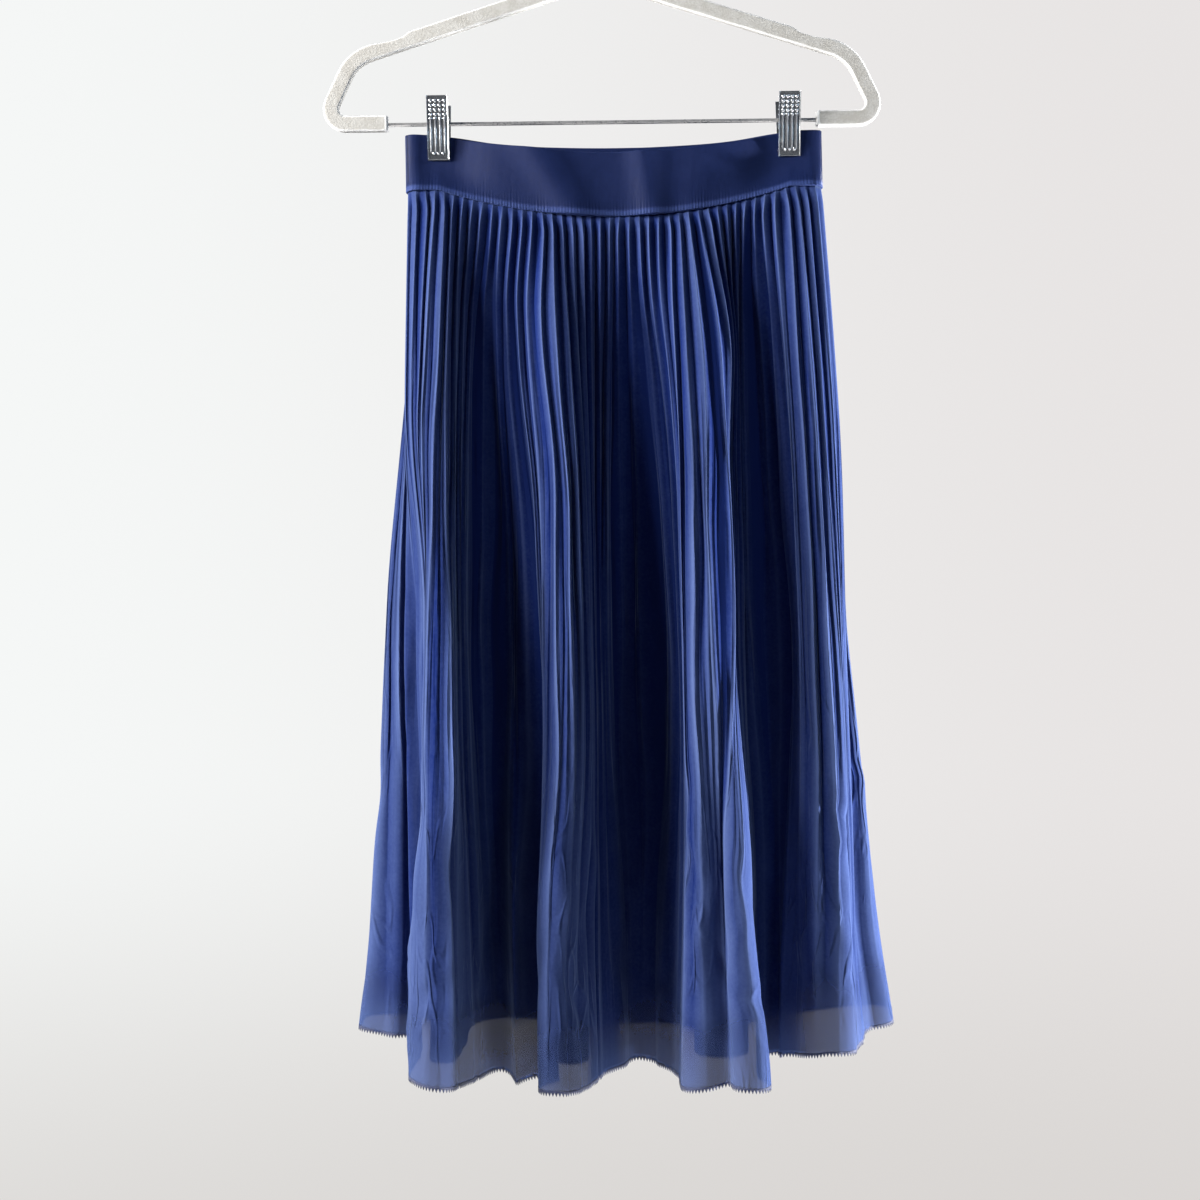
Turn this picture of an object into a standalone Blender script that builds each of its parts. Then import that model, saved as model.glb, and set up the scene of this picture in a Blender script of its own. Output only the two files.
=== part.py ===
"""Pleated midi skirt on a slim clip hanger.

Metres, +Z up, +X to the right of someone facing the skirt, whose front is towards -Y.
The origin is the point of the hook that bears on a rail.

The cloth is a tube of accordion pleats. Its section is an oval at the waist and a run of
deep folds at the hem, and every height between is a blend of the two, so the table FOLDS
and a few driving sizes give the whole skirt.
"""
import math
from typing import NamedTuple

import bmesh
import bpy
import numpy as np

# ---------------------------------------------------------------- driving sizes
GAP = 0.0003                 # between pieces that touch

# hanger
BAR_Z = -0.215               # middle of the steel bar
BAR_RADIUS = 0.0015
ARM_PEAK_Z = -0.0985         # middle line of the arms, if they met in a point
ARM_SLOPE = 0.32             # fall of the arms for each metre outwards
ARM_HEIGHT = 0.0126
ARM_THICKNESS = 0.0056
ARM_CORNER = 0.0016          # bevel along the arms' edges
PATH_STEP = 0.0075           # between the frame's rings
NECK_ROUNDING = 0.030        # radius of the middle line under the neck
SHOULDER_X = 0.1990          # where the straight arm would meet the straight side
SHOULDER_ROUNDING = 0.034
ELBOW_X = 0.2235             # the same for the side and the lower stub
ELBOW_ROUNDING = 0.0120
STUB_END = 0.171             # from the middle to the end of each lower stub
STUB_Z = -0.2142
BAR_SEAT = 0.0120            # depth of the bore in each stub
NOTCH_X = 0.163              # strap notch in the top edge
NOTCH_WIDTH = 0.013
NOTCH_DEPTH = 0.0024
NECK_RADIUS = 0.0062
NECK_TIP_RADIUS = 0.0046
NECK_TOP_Z = -0.0745

# hook
WIRE_RADIUS = 0.00175
HOOK_RADIUS = 0.0218         # middle line of the wire
HOOK_NECK_RADIUS = 0.0120    # the bend that leads from the shank to the hook
HOOK_END = math.radians(208)
SHANK_DEPTH = 0.0135         # how far the wire goes into the neck

# clips
CLIP_SPREAD = 0.1398         # each side of the skirt's middle
CLIP_WIDTH = 0.0173
CLIP_SHEET = 0.0012
CLIP_TOP = 0.0190            # above the bar
CLIP_BOTTOM = 0.0296         # below the bar
JAW_FLARE = (                # how far a jaw stands off its tip, by height from the bar
    (0.0, -CLIP_BOTTOM),
    (0.0022, -0.0196),
    (0.0040, -0.0040),
    (0.0095, CLIP_TOP),
)
EAR_RADIUS = 0.0042
EAR_SHEET = 0.0010
SPRING_WIRE = 0.0006
SPRING_RADIUS = 0.0029
SPRING_TURNS = 4
SPRING_POINTS = 9            # in each turn

# waistband
SKIRT_X = 0.0092             # the clips stand a little right of the hook
WAIST_HALF = 0.1650          # half the flat width
WAIST_OPEN = 0.0090          # from the middle plane to each wall, between the clips
WAIST_PINCHED = 0.00145      # the same in the jaws
BAND_WALL = 0.0016
BAND_TOP_Z = -0.2240         # at the clips and beyond
BAND_SEAM_Z = -0.2702
FRONT_TOP_SAG = 0.0178
FRONT_SEAM_SAG = 0.0225
BACK_SAG_SHARE = 0.50        # the back sags less, because less hangs from it
PINCH_WIDTH = 0.0208         # the stretch that stays flat in a jaw
PINCH_EASE = 0.026           # how far beside it the band has mostly opened
PINCH_DEPTH = 0.45           # share of the band's height that the jaw keeps flat
BAND_COLUMNS = 96
BAND_ROWS = 6

# pleated panels
PLEATS_EACH = 44             # on the front, and again on the back
PANEL_LENGTH = 0.6720        # cut length below the seam
CLOTH_WALL = 0.0012
PLEAT_DEPTH_WAIST = 0.0060
PLEAT_DEPTH_HEM = 0.0026
PLEAT_FADE = 0.8
FOLD_GROWTH = 0.82           # how fast the folds deepen on the way down
SIDE_SWELL = 0.0062          # the pleats spring outwards below the band
SWELL_RISE = 0.6             # under 1 puts the widest swell above half way
FOLD_STEEPNESS = 1.12        # over 1 the walls lean back under the folds
RINGS = 13
RING_CROWDING = 1.1          # over 1 crowds the rings towards the seam
PLEATS_ROUND = 2 * PLEATS_EACH


class Fold(NamedTuple):
    """A level stretch of the hem's section, and the wall that leads on to the next one."""

    name: str
    pleat: float     # number of the pleat that hangs in its middle, from the left seam
    x: float         # its middle at the hem, from the skirt's own middle plane
    y: float         # its depth at the hem
    wall_x: float    # where the wall to the next row stands
    drop: float      # how much lower than the cut length its hem hangs


FOLDS = (
    Fold("front hump 1", 4.7, -0.1395, -0.120, -0.1165, 0.009),
    Fold("front valley 1", 10.0, -0.0950, -0.036, -0.0700, 0.004),
    Fold("front hump 2", 16.0, -0.0470, -0.101, -0.0225, 0.001),
    Fold("front valley 2", 23.0, 0.0110, 0.008, 0.0400, 0.000),
    Fold("front hump 3", 29.5, 0.0710, -0.117, 0.1050, 0.001),
    Fold("front valley 3", 36.0, 0.1190, -0.028, 0.1330, 0.000),
    Fold("front hump 4", 40.5, 0.1600, -0.066, 0.1870, 0.000),
    Fold("right flank", 46.0, 0.2010, 0.000, 0.2180, 0.000),
    Fold("back hump 1", 51.0, 0.1500, 0.056, 0.0960, 0.000),
    Fold("back finger 1", 57.0, 0.0780, -0.044, 0.0560, 0.000),
    Fold("back hump 2", 63.5, 0.0180, 0.060, -0.0290, 0.000),
    Fold("back finger 2", 69.0, -0.0430, -0.050, -0.0550, 0.000),
    Fold("back hump 3", 75.0, -0.0900, 0.066, -0.1290, 0.000),
    Fold("back finger 3", 80.5, -0.1380, -0.074, -0.1500, 0.000),
    Fold("back hump 4", 84.0, -0.1850, 0.050, -0.2150, 0.000),
    Fold("left flank", 86.5, -0.1860, 0.002, -0.1640, 0.000),
)


class Finish(NamedTuple):
    """A plain surface finish."""

    slot: str
    colour: tuple
    roughness: float
    metallic: float


FINISHES = (
    Finish("navy_chiffon", (0.030, 0.052, 0.190), 0.75, 0.0),
    Finish("navy_elastic", (0.022, 0.038, 0.150), 0.45, 0.0),
    Finish("cream_flock", (0.780, 0.750, 0.690), 0.95, 0.0),
    Finish("bright_steel", (0.600, 0.590, 0.570), 0.25, 1.0),
    Finish("clip_chrome", (0.750, 0.760, 0.780), 0.12, 1.0),
)


# ---------------------------------------------------------------- scene helpers
def clear_scene():
    """Remove every object of the open file."""
    for item in list(bpy.data.objects):
        bpy.data.objects.remove(item, do_unlink=True)


def material_of(finish):
    """A Principled material for one row of FINISHES."""
    made = bpy.data.materials.new(finish.slot)
    made.use_nodes = True
    shader = made.node_tree.nodes["Principled BSDF"]
    shader.inputs["Base Color"].default_value = (*finish.colour, 1.0)
    shader.inputs["Roughness"].default_value = finish.roughness
    shader.inputs["Metallic"].default_value = finish.metallic
    return made


def add_object(name, data, made_of):
    """Put mesh or curve data in the scene as one named object."""
    item = bpy.data.objects.new(name, data)
    data.materials.append(made_of)
    bpy.context.scene.collection.objects.link(item)
    return item


def mesh_from(name, points, faces):
    """A mesh with all its faces turned outwards."""
    data = bpy.data.meshes.new(name)
    data.from_pydata([tuple(p) for p in points], [], faces)
    shape = bmesh.new()
    shape.from_mesh(data)
    bmesh.ops.recalc_face_normals(shape, faces=shape.faces)
    shape.to_mesh(data)
    shape.free()
    return data


def cut_or_join(item, other, operation):
    """Apply a Boolean with a second object, which is then removed."""
    step = item.modifiers.new(operation.lower(), "BOOLEAN")
    step.operation = operation
    step.solver = "EXACT"
    step.object = other
    graph = bpy.context.evaluated_depsgraph_get()
    result = bpy.data.meshes.new_from_object(item.evaluated_get(graph))
    item.modifiers.clear()
    item.data = result
    bpy.data.objects.remove(other, do_unlink=True)


def rod_along_x(name, centre, radius, length, sides, made_of):
    """A straight round rod along X."""
    angles = np.arange(sides) * 2 * math.pi / sides
    ends = [centre[0] - length / 2, centre[0] + length / 2]
    points = [
        (x, centre[1] + radius * math.cos(a), centre[2] + radius * math.sin(a))
        for x in ends
        for a in angles
    ]
    return add_object(name, mesh_from(name, points, prism_faces(sides, 2)), made_of)


def prism_faces(sides, rings):
    """Side and end faces of rings of points that follow each other along a path."""
    faces = [
        (r * sides + s, r * sides + (s + 1) % sides,
         (r + 1) * sides + (s + 1) % sides, (r + 1) * sides + s)
        for r in range(rings - 1)
        for s in range(sides)
    ]
    last = (rings - 1) * sides
    return faces + [tuple(range(sides)), tuple(last + s for s in range(sides))]


def wall_between(name, outer, inner, is_loop):
    """A closed wall between two grids of points, shape (rows, columns, 3)."""
    rows, columns = outer.shape[:2]
    points = np.concatenate([outer.reshape(-1, 3), inner.reshape(-1, 3)])
    half = rows * columns
    spans = columns if is_loop else columns - 1
    faces = []
    for r in range(rows - 1):
        for c in range(spans):
            d = (c + 1) % columns
            a, b = r * columns + c, r * columns + d
            f, e = a + columns, b + columns
            faces.append((a, b, e, f))
            faces.append((half + f, half + e, half + b, half + a))
    for r in (0, rows - 1):
        for c in range(spans):
            a, b = r * columns + c, r * columns + (c + 1) % columns
            faces.append((a, half + a, half + b, b))
    if not is_loop:
        for c in (0, columns - 1):
            for r in range(rows - 1):
                a, b = r * columns + c, (r + 1) * columns + c
                faces.append((a, b, half + b, half + a))
    return mesh_from(name, points, faces)


# ---------------------------------------------------------------- the cloth's form
def sag_between_clips(x):
    """0 at the clips and beyond, 1 midway, as a parabola."""
    return np.clip(1.0 - ((x - SKIRT_X) / CLIP_SPREAD) ** 2, 0.0, 1.0)


def is_back(y):
    """0 on the front half of the oval, 1 on the back half, eased across the ends."""
    return np.clip(0.5 + y / (2 * WAIST_OPEN), 0.0, 1.0)


def edge_z(x, y, level, front_sag):
    """Height of the band's edge that lies at a level and sags between the clips."""
    share = 1.0 - (1.0 - BACK_SAG_SHARE) * is_back(y)
    return level - front_sag * share * sag_between_clips(x)


def waist_oval(pleat):
    """The oval of the waist, a long slot with round ends, by pleat number from the left."""
    straight = 2 * (WAIST_HALF - WAIST_OPEN)
    turn = math.pi * WAIST_OPEN
    s = np.mod(pleat, PLEATS_ROUND) / PLEATS_ROUND * 2 * (straight + turn)
    on_back = s > straight + turn
    s = np.where(on_back, s - straight - turn, s)
    first = np.clip(s, 0, turn / 2) / WAIST_OPEN
    last = np.clip(s - turn / 2 - straight, 0, turn / 2) / WAIST_OPEN
    along = np.clip(s - turn / 2, 0, straight)
    x = -WAIST_HALF + WAIST_OPEN * (1 - np.cos(first)) + along + WAIST_OPEN * np.sin(last)
    y = -WAIST_OPEN * np.where(last > 0, np.cos(last), np.sin(first))
    flip = np.where(on_back, -1.0, 1.0)
    return flip * x + SKIRT_X, flip * y


def half_fold(here, there, q):
    """From the middle of one level to the middle of the next, for q from 0 to 1.

    The depth follows half a cosine wave. The way across runs fast over both levels and
    stands still, or turns back a little, at the wall.
    """
    ease = (1 - np.cos(math.pi * q)) / 2
    run = q + FOLD_STEEPNESS * np.sin(2 * math.pi * q) / (2 * math.pi)
    x = np.where(
        q < 0.5,
        here.x + 2 * (here.wall_x - here.x) * run,
        there.x + 2 * (here.wall_x - there.x) * (1 - run),
    )
    return x, here.y + (there.y - here.y) * ease, here.drop + (there.drop - here.drop) * ease


def hem_table(steps=160):
    """The hem's section as columns pleat, x, y and drop, pleats evenly laid in each half fold."""
    q = np.linspace(0, 1, steps, endpoint=False)
    columns = []
    for here, there in zip(FOLDS, FOLDS[1:] + FOLDS[:1]):
        span = (there.pleat - here.pleat) % PLEATS_ROUND
        x, y, drop = half_fold(here, there, np.append(q, 1.0))
        run = np.concatenate([[0.0], np.cumsum(np.hypot(np.diff(x), np.diff(y)))])
        pleat = here.pleat + span * run / run[-1]
        columns.append(np.stack([pleat, x + SKIRT_X, y, drop])[:, :-1])
    return np.concatenate(columns, axis=1)


HEM = hem_table()


def base_surface(pleat, down):
    """Points of the tube without its pleats. down is 0 at the seam and 1 at the hem."""
    waist_x, waist_y = waist_oval(pleat)
    hem_x, hem_y, drop = (
        np.interp(pleat, HEM[0], column, period=PLEATS_ROUND) for column in HEM[1:]
    )
    fall = np.sqrt(PANEL_LENGTH**2 - (hem_x - waist_x) ** 2 - (hem_y - waist_y) ** 2) + drop
    seam_z = edge_z(waist_x, waist_y, BAND_SEAM_Z, FRONT_SEAM_SAG)
    swell = SIDE_SWELL * np.sin(math.pi * down**SWELL_RISE) * (waist_x - SKIRT_X) / WAIST_HALF
    return np.stack(
        [
            waist_x + (hem_x - waist_x) * down + swell,
            waist_y + (hem_y - waist_y) * down**FOLD_GROWTH,
            seam_z - GAP - fall * down,
        ],
        axis=-1,
    )


def outward(pleat, down):
    """Level unit vectors that point out of the tube, and the pleats' spacing there."""
    step = base_surface(pleat + 0.5, down) - base_surface(pleat - 0.5, down)
    pitch = np.hypot(step[..., 0], step[..., 1])
    normal = np.stack([step[..., 1], -step[..., 0], np.zeros_like(pitch)], axis=-1)
    return normal / pitch[..., None], pitch


def pleated_panel(name, first, made_of):
    """One panel of PLEATS_EACH pleats from a pleat number on, a point on every crease."""
    creases = np.arange(2 * PLEATS_EACH + 1)
    pleat, down = np.meshgrid(
        first + creases / 2.0, np.linspace(0, 1, RINGS) ** RING_CROWDING
    )
    _, pitch = outward(pleat, down)
    pleat[:, 0] += GAP / 2 / pitch[:, 0]
    pleat[:, -1] -= GAP / 2 / pitch[:, -1]
    normal, pitch = outward(pleat, down)
    fade = (1 - down) ** PLEAT_FADE
    depth = PLEAT_DEPTH_HEM + (PLEAT_DEPTH_WAIST - PLEAT_DEPTH_HEM) * fade
    ridge = np.where(creases % 2 == 1, 0.5, -0.5)[None, :]
    wall = CLOTH_WALL * np.sqrt(1 + (2 * depth / pitch) ** 2)
    middle = base_surface(pleat, down) + normal * (ridge * depth)[..., None]
    half_wall = normal * (wall / 2)[..., None]
    return add_object(
        name, wall_between(name, middle + half_wall, middle - half_wall, False), made_of
    )


def waistband(made_of):
    """The elastic loop: pinched in the jaws, open between them, and sagging in the middle."""
    pleat, down = np.meshgrid(
        np.arange(BAND_COLUMNS) * PLEATS_ROUND / BAND_COLUMNS, np.linspace(0, 1, BAND_ROWS)
    )
    x, y = waist_oval(pleat)
    from_jaw = np.abs(np.abs(x - SKIRT_X) - CLIP_SPREAD) - PINCH_WIDTH / 2
    beside = 1 - np.exp(-((np.maximum(from_jaw, 0.0) / PINCH_EASE) ** 2))
    below = np.clip((down - PINCH_DEPTH) / (1 - PINCH_DEPTH), 0, 1) ** 2
    opened = beside + (1 - beside) * below
    half_gap = WAIST_PINCHED + (WAIST_OPEN - WAIST_PINCHED) * opened
    along_x, along_y = (np.roll(v, -1, axis=1) - np.roll(v, 1, axis=1) for v in (x, y))
    side = np.stack([along_y, -along_x], axis=-1)
    side /= np.linalg.norm(side, axis=-1, keepdims=True)
    top = edge_z(x, y, BAND_TOP_Z, FRONT_TOP_SAG)
    seam = edge_z(x, y, BAND_SEAM_Z, FRONT_SEAM_SAG)
    middle = np.stack([x, y * half_gap / WAIST_OPEN, top + (seam - top) * down], axis=-1)
    half_wall = np.concatenate([side, np.zeros_like(x)[..., None]], axis=-1) * BAND_WALL / 2
    return add_object(
        "waistband", wall_between("waistband", middle + half_wall, middle - half_wall, True), made_of
    )


# ---------------------------------------------------------------- the hanger
def arc(centre, radius, start, end, points):
    """Points of an arc in the XZ plane."""
    angles = np.linspace(start, end, points)
    return [(centre[0] + radius * math.cos(a), centre[1] + radius * math.sin(a)) for a in angles]


def rounded_path(corners, points_each=6):
    """A path through corners (x, z, radius), each rounded by an arc."""
    path = [np.array(corners[0][:2])]
    for before, corner, after in zip(corners, corners[1:], corners[2:]):
        at = np.array(corner[:2])
        into = at - np.array(before[:2])
        out = np.array(after[:2]) - at
        into /= np.linalg.norm(into)
        out /= np.linalg.norm(out)
        turn = math.acos(float(np.clip(into @ out, -1, 1)))
        reach = corner[2] * math.tan(turn / 2)
        side = math.copysign(1.0, into[0] * out[1] - into[1] * out[0])
        hub = at - into * reach + side * corner[2] * np.array([-into[1], into[0]])
        start = at - into * reach - hub
        for share in np.linspace(0, 1, points_each):
            a = side * turn * share
            spin = np.array([[math.cos(a), -math.sin(a)], [math.sin(a), math.cos(a)]])
            path.append(hub + spin @ start)
    path.append(np.array(corners[-1][:2]))
    return np.array(path)


def hanger_path():
    """Middle line of the frame, from the left stub over the neck to the right stub."""
    right = (
        (0.0, ARM_PEAK_Z, NECK_ROUNDING),
        (SHOULDER_X, ARM_PEAK_Z - ARM_SLOPE * SHOULDER_X, SHOULDER_ROUNDING),
        (ELBOW_X, STUB_Z, ELBOW_ROUNDING),
        (STUB_END, STUB_Z, 0.0),
    )
    left = [(-x, z, r) for x, z, r in reversed(right[1:])]
    return rounded_path(left + list(right))


def resample(path, spacing):
    """The same path with a point about every spacing."""
    run = np.concatenate([[0.0], np.cumsum(np.linalg.norm(np.diff(path, axis=0), axis=1))])
    even = np.linspace(0, run[-1], int(run[-1] / spacing) + 1)
    return np.stack([np.interp(even, run, path[:, k]) for k in (0, 1)], axis=1)


def hanger_frame(made_of):
    """The flocked frame: a band with bevelled edges along the path, notched at the straps."""
    path = resample(hanger_path(), PATH_STEP)
    tangent = np.gradient(path, axis=0)
    tangent /= np.linalg.norm(tangent, axis=1, keepdims=True)
    outside = np.stack([-tangent[:, 1], tangent[:, 0]], axis=1)
    notch = NOTCH_DEPTH * np.exp(-(((np.abs(path[:, 0]) - NOTCH_X) / (NOTCH_WIDTH / 2)) ** 2))
    notch[path[:, 1] < BAR_Z + 2 * ARM_HEIGHT] = 0.0
    half_y, half_h, bevel = ARM_THICKNESS / 2, ARM_HEIGHT / 2, ARM_CORNER
    corners = (
        (-half_y, half_h - bevel), (-half_y + bevel, half_h), (half_y - bevel, half_h),
        (half_y, half_h - bevel), (half_y, -half_h + bevel), (half_y - bevel, -half_h),
        (-half_y + bevel, -half_h), (-half_y, -half_h + bevel),
    )
    points = []
    for spot, normal, dip in zip(path, outside, notch):
        for y, height in corners:
            level = height - dip if height > 0 else height
            points.append((spot[0] + normal[0] * level, y, spot[1] + normal[1] * level))
    data = mesh_from("hanger_frame", points, prism_faces(len(corners), len(path)))
    frame = add_object("hanger_frame", data, made_of)
    cut_or_join(frame, hanger_neck(made_of), "UNION")
    for side in (-1, 1):
        bore = rod_along_x(
            "bore", (side * STUB_END, 0, BAR_Z), BAR_RADIUS + GAP, 2 * BAR_SEAT, 12, made_of
        )
        cut_or_join(frame, bore, "DIFFERENCE")
    socket = upright_cone(
        "socket", NECK_TOP_Z - SHANK_DEPTH - GAP, NECK_TOP_Z + SHANK_DEPTH,
        WIRE_RADIUS + GAP, WIRE_RADIUS + GAP, 12, made_of,
    )
    cut_or_join(frame, socket, "DIFFERENCE")
    return frame


def upright_cone(name, low, high, low_radius, high_radius, sides, made_of):
    """A round post on the Z axis whose radius changes evenly."""
    points = [
        (r * math.cos(a), r * math.sin(a), z)
        for z, r in ((low, low_radius), (high, high_radius))
        for a in np.arange(sides) * 2 * math.pi / sides
    ]
    return add_object(name, mesh_from(name, points, prism_faces(sides, 2)), made_of)


def hanger_neck(made_of):
    """The boss that holds the hook."""
    return upright_cone(
        "neck", ARM_PEAK_Z - ARM_HEIGHT / 3, NECK_TOP_Z, NECK_RADIUS, NECK_TIP_RADIUS, 16, made_of
    )


def hook(made_of):
    """The wire hook: shank, a short bend to the right, then over the top to the left."""
    centre = (0.0, -HOOK_RADIUS + WIRE_RADIUS)
    reach = HOOK_RADIUS + HOOK_NECK_RADIUS
    bend_z = centre[1] - math.sqrt(reach**2 - HOOK_NECK_RADIUS**2)
    swing = math.acos(HOOK_NECK_RADIUS / reach)
    foot = NECK_TOP_Z - SHANK_DEPTH
    path = [(0.0, foot), (0.0, (foot + bend_z) / 2)]
    path += arc((HOOK_NECK_RADIUS, bend_z), HOOK_NECK_RADIUS, math.pi, math.pi - swing, 7)[:-1]
    path += arc(centre, HOOK_RADIUS, -swing, HOOK_END, 30)
    return wire("hanger_hook", [(x, 0.0, z) for x, z in path], WIRE_RADIUS, 3, made_of)


def wire(name, route, radius, resolution, made_of):
    """A round wire with capped ends along a route."""
    data = bpy.data.curves.new(name, "CURVE")
    data.dimensions = "3D"
    data.bevel_depth = radius
    data.bevel_resolution = resolution
    data.use_fill_caps = True
    data.resolution_u = 1
    data.render_resolution_u = 0
    line = data.splines.new("POLY")
    line.points.add(len(route) - 1)
    for point, place in zip(line.points, route):
        point.co = (*place, 1.0)
    return add_object(name, data, made_of)


# ---------------------------------------------------------------- the clips
def jaw_profile(side):
    """Middle line of a jaw seen along the bar, from its tip up, as (y, z from the bar)."""
    tip_y = WAIST_PINCHED + BAND_WALL / 2 + GAP + CLIP_SHEET / 2
    return np.array([(side * (tip_y + flare), z) for flare, z in JAW_FLARE])


def jaw(name, x, side, ear_inset, made_of):
    """A pressed jaw: a bent plate and two ears that the bar runs through."""
    line = jaw_profile(side)
    tangent = np.gradient(line, axis=0)
    tangent /= np.linalg.norm(tangent, axis=1, keepdims=True)
    across = np.stack([tangent[:, 1], -tangent[:, 0]], axis=1) * CLIP_SHEET / 2
    outline = np.concatenate([line + across, (line - across)[::-1]])
    half = CLIP_WIDTH / 2
    points = [(x + e, y, BAR_Z + z) for e in (-half, half) for y, z in outline]
    plate = add_object(name, mesh_from(name, points, prism_faces(len(outline), 2)), made_of)
    plate_y = float(np.interp(0.0, line[:, 1], line[:, 0]))
    for end in (-1, 1):
        ear_x = x + end * (half - ear_inset - EAR_SHEET / 2)
        cut_or_join(plate, ear(ear_x, plate_y, made_of), "UNION")
    bore = rod_along_x("bore", (x, 0, BAR_Z), BAR_RADIUS + GAP, CLIP_WIDTH * 2, 12, made_of)
    cut_or_join(plate, bore, "DIFFERENCE")
    return plate


def ear(x, plate_y, made_of):
    """A flat lug, half round about the bar and square towards its plate."""
    turn = math.copysign(1.0, plate_y)
    rim = [
        (-turn * EAR_RADIUS * math.cos(a), EAR_RADIUS * math.sin(a))
        for a in np.linspace(-math.pi / 2, math.pi / 2, 9)
    ]
    outline = [(plate_y, -EAR_RADIUS)] + rim + [(plate_y, EAR_RADIUS)]
    points = [
        (x + e, y, BAR_Z + z) for e in (-EAR_SHEET / 2, EAR_SHEET / 2) for y, z in outline
    ]
    return add_object("ear", mesh_from("ear", points, prism_faces(len(outline), 2)), made_of)


def clip(label, x, chrome, steel):
    """One clip: front jaw, back jaw nested inside it, and the coil spring on the bar."""
    jaw(f"clip_{label}_front_jaw", x, -1, 0.0, chrome)
    jaw(f"clip_{label}_back_jaw", x, 1, EAR_SHEET + GAP, chrome)
    between_ears = CLIP_WIDTH - 2 * (2 * EAR_SHEET + GAP)
    length = between_ears - 2 * (GAP + SPRING_WIRE)
    steps = SPRING_TURNS * SPRING_POINTS
    turn = 2 * math.pi / SPRING_POINTS
    route = [
        (
            x + length * (k / steps - 0.5),
            SPRING_RADIUS * math.cos(turn * k),
            BAR_Z + SPRING_RADIUS * math.sin(turn * k),
        )
        for k in range(steps + 1)
    ]
    wire(f"clip_{label}_spring", route, SPRING_WIRE, 1, steel)


# ---------------------------------------------------------------- assembly
def build():
    """Make every piece."""
    clear_scene()
    chiffon, elastic, flock, steel, chrome = (material_of(row) for row in FINISHES)
    pleated_panel("skirt_front", 0.0, chiffon)
    pleated_panel("skirt_back", float(PLEATS_EACH), chiffon)
    waistband(elastic)
    hanger_frame(flock)
    hook(steel)
    bar_length = 2 * (STUB_END + BAR_SEAT - GAP)
    rod_along_x("clip_bar", (0, 0, BAR_Z), BAR_RADIUS, bar_length, 12, steel)
    clip("left", SKIRT_X - CLIP_SPREAD, chrome, steel)
    clip("right", SKIRT_X + CLIP_SPREAD, chrome, steel)


build()
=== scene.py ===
"""Looks of a pleated midi skirt that hangs by its waist from a slim clip hanger.

Every size is in metres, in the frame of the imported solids: +Z up, the skirt's front towards
-Y, and the origin where the hook bears on its rail.

The cloth is worked out from the same form as its solids: an oval at the waist, a run of deep
folds at the hem, and a blend of the two between. Over that form lie the pressed creases of
the accordion pleats, soft ripples, and the creases and troughs of worn chiffon.
"""

import logging
import math
from abc import ABC, abstractmethod
from dataclasses import dataclass, field
from enum import Enum
from typing import NamedTuple

import bpy
import mathutils
import numpy as np
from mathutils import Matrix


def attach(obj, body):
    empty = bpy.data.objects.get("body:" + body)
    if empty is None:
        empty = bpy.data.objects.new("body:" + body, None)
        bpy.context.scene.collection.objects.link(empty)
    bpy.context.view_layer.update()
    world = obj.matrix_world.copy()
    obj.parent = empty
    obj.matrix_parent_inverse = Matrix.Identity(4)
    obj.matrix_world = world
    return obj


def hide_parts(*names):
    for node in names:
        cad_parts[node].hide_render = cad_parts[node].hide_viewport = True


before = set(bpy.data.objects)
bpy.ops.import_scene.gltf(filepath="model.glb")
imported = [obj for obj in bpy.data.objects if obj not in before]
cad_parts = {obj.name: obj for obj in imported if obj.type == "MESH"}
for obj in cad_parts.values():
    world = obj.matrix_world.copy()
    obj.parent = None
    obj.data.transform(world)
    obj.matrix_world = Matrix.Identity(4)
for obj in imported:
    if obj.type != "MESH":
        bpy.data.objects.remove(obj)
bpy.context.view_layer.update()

log = logging.getLogger("skirt")
BODY = "root"
TURN = 2 * math.pi
Grid = np.ndarray
Faces = list[tuple[int, ...]]
Item = bpy.types.Object
Material = bpy.types.Material


class Slot(Enum):
    """The record's material slots."""

    CHIFFON = "navy_chiffon"
    ELASTIC = "navy_elastic"
    FLOCK = "cream_flock"
    STEEL = "bright_steel"
    CHROME = "clip_chrome"


# ---------------------------------------------------------------- mesh helpers
def smoothstep(low: float, high: float, value: Grid) -> Grid:
    """0 below low, 1 above high, and 3t^2 - 2t^3 between."""
    t = np.clip((value - low) / (high - low), 0.0, 1.0)
    return t * t * (3.0 - 2.0 * t)


def bell(value: Grid, centre: float, width: float) -> Grid:
    """A Gauss curve of height 1: exp(-((value - centre) / width)^2)."""
    return np.exp(-(((value - centre) / width) ** 2))


def unit(vectors: Grid, least: float = 1e-12) -> Grid:
    """The same vectors at length 1, with no division by less than the least length."""
    return vectors / np.maximum(np.linalg.norm(vectors, axis=-1, keepdims=True), least)


def length_run(path: Grid) -> Grid:
    """Length of a path up to each of its points: the running sum of its steps' lengths."""
    return np.concatenate([[0.0], np.cumsum(np.linalg.norm(np.diff(path, axis=0), axis=1))])


def grid_faces(rows: int, columns: int, wrap_rows: bool = False, wrap_columns: bool = False) -> Grid:
    """Quads over a grid of points that is stored row by row.

    Args:
        rows: number of rows of points.
        columns: number of points in each row.
        wrap_rows: join the last row to the first.
        wrap_columns: join the last column to the first.

    Returns:
        An array of four point numbers for each face.
    """
    r = np.arange(rows if wrap_rows else rows - 1)[:, None]
    c = np.arange(columns if wrap_columns else columns - 1)[None, :]
    r_next, c_next = (r + 1) % rows, (c + 1) % columns
    corners = [r * columns + c, r_next * columns + c, r_next * columns + c_next, r * columns + c_next]
    return np.stack([np.broadcast_to(k, (r.size, c.size)) for k in corners], axis=-1).reshape(-1, 4)


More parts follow.
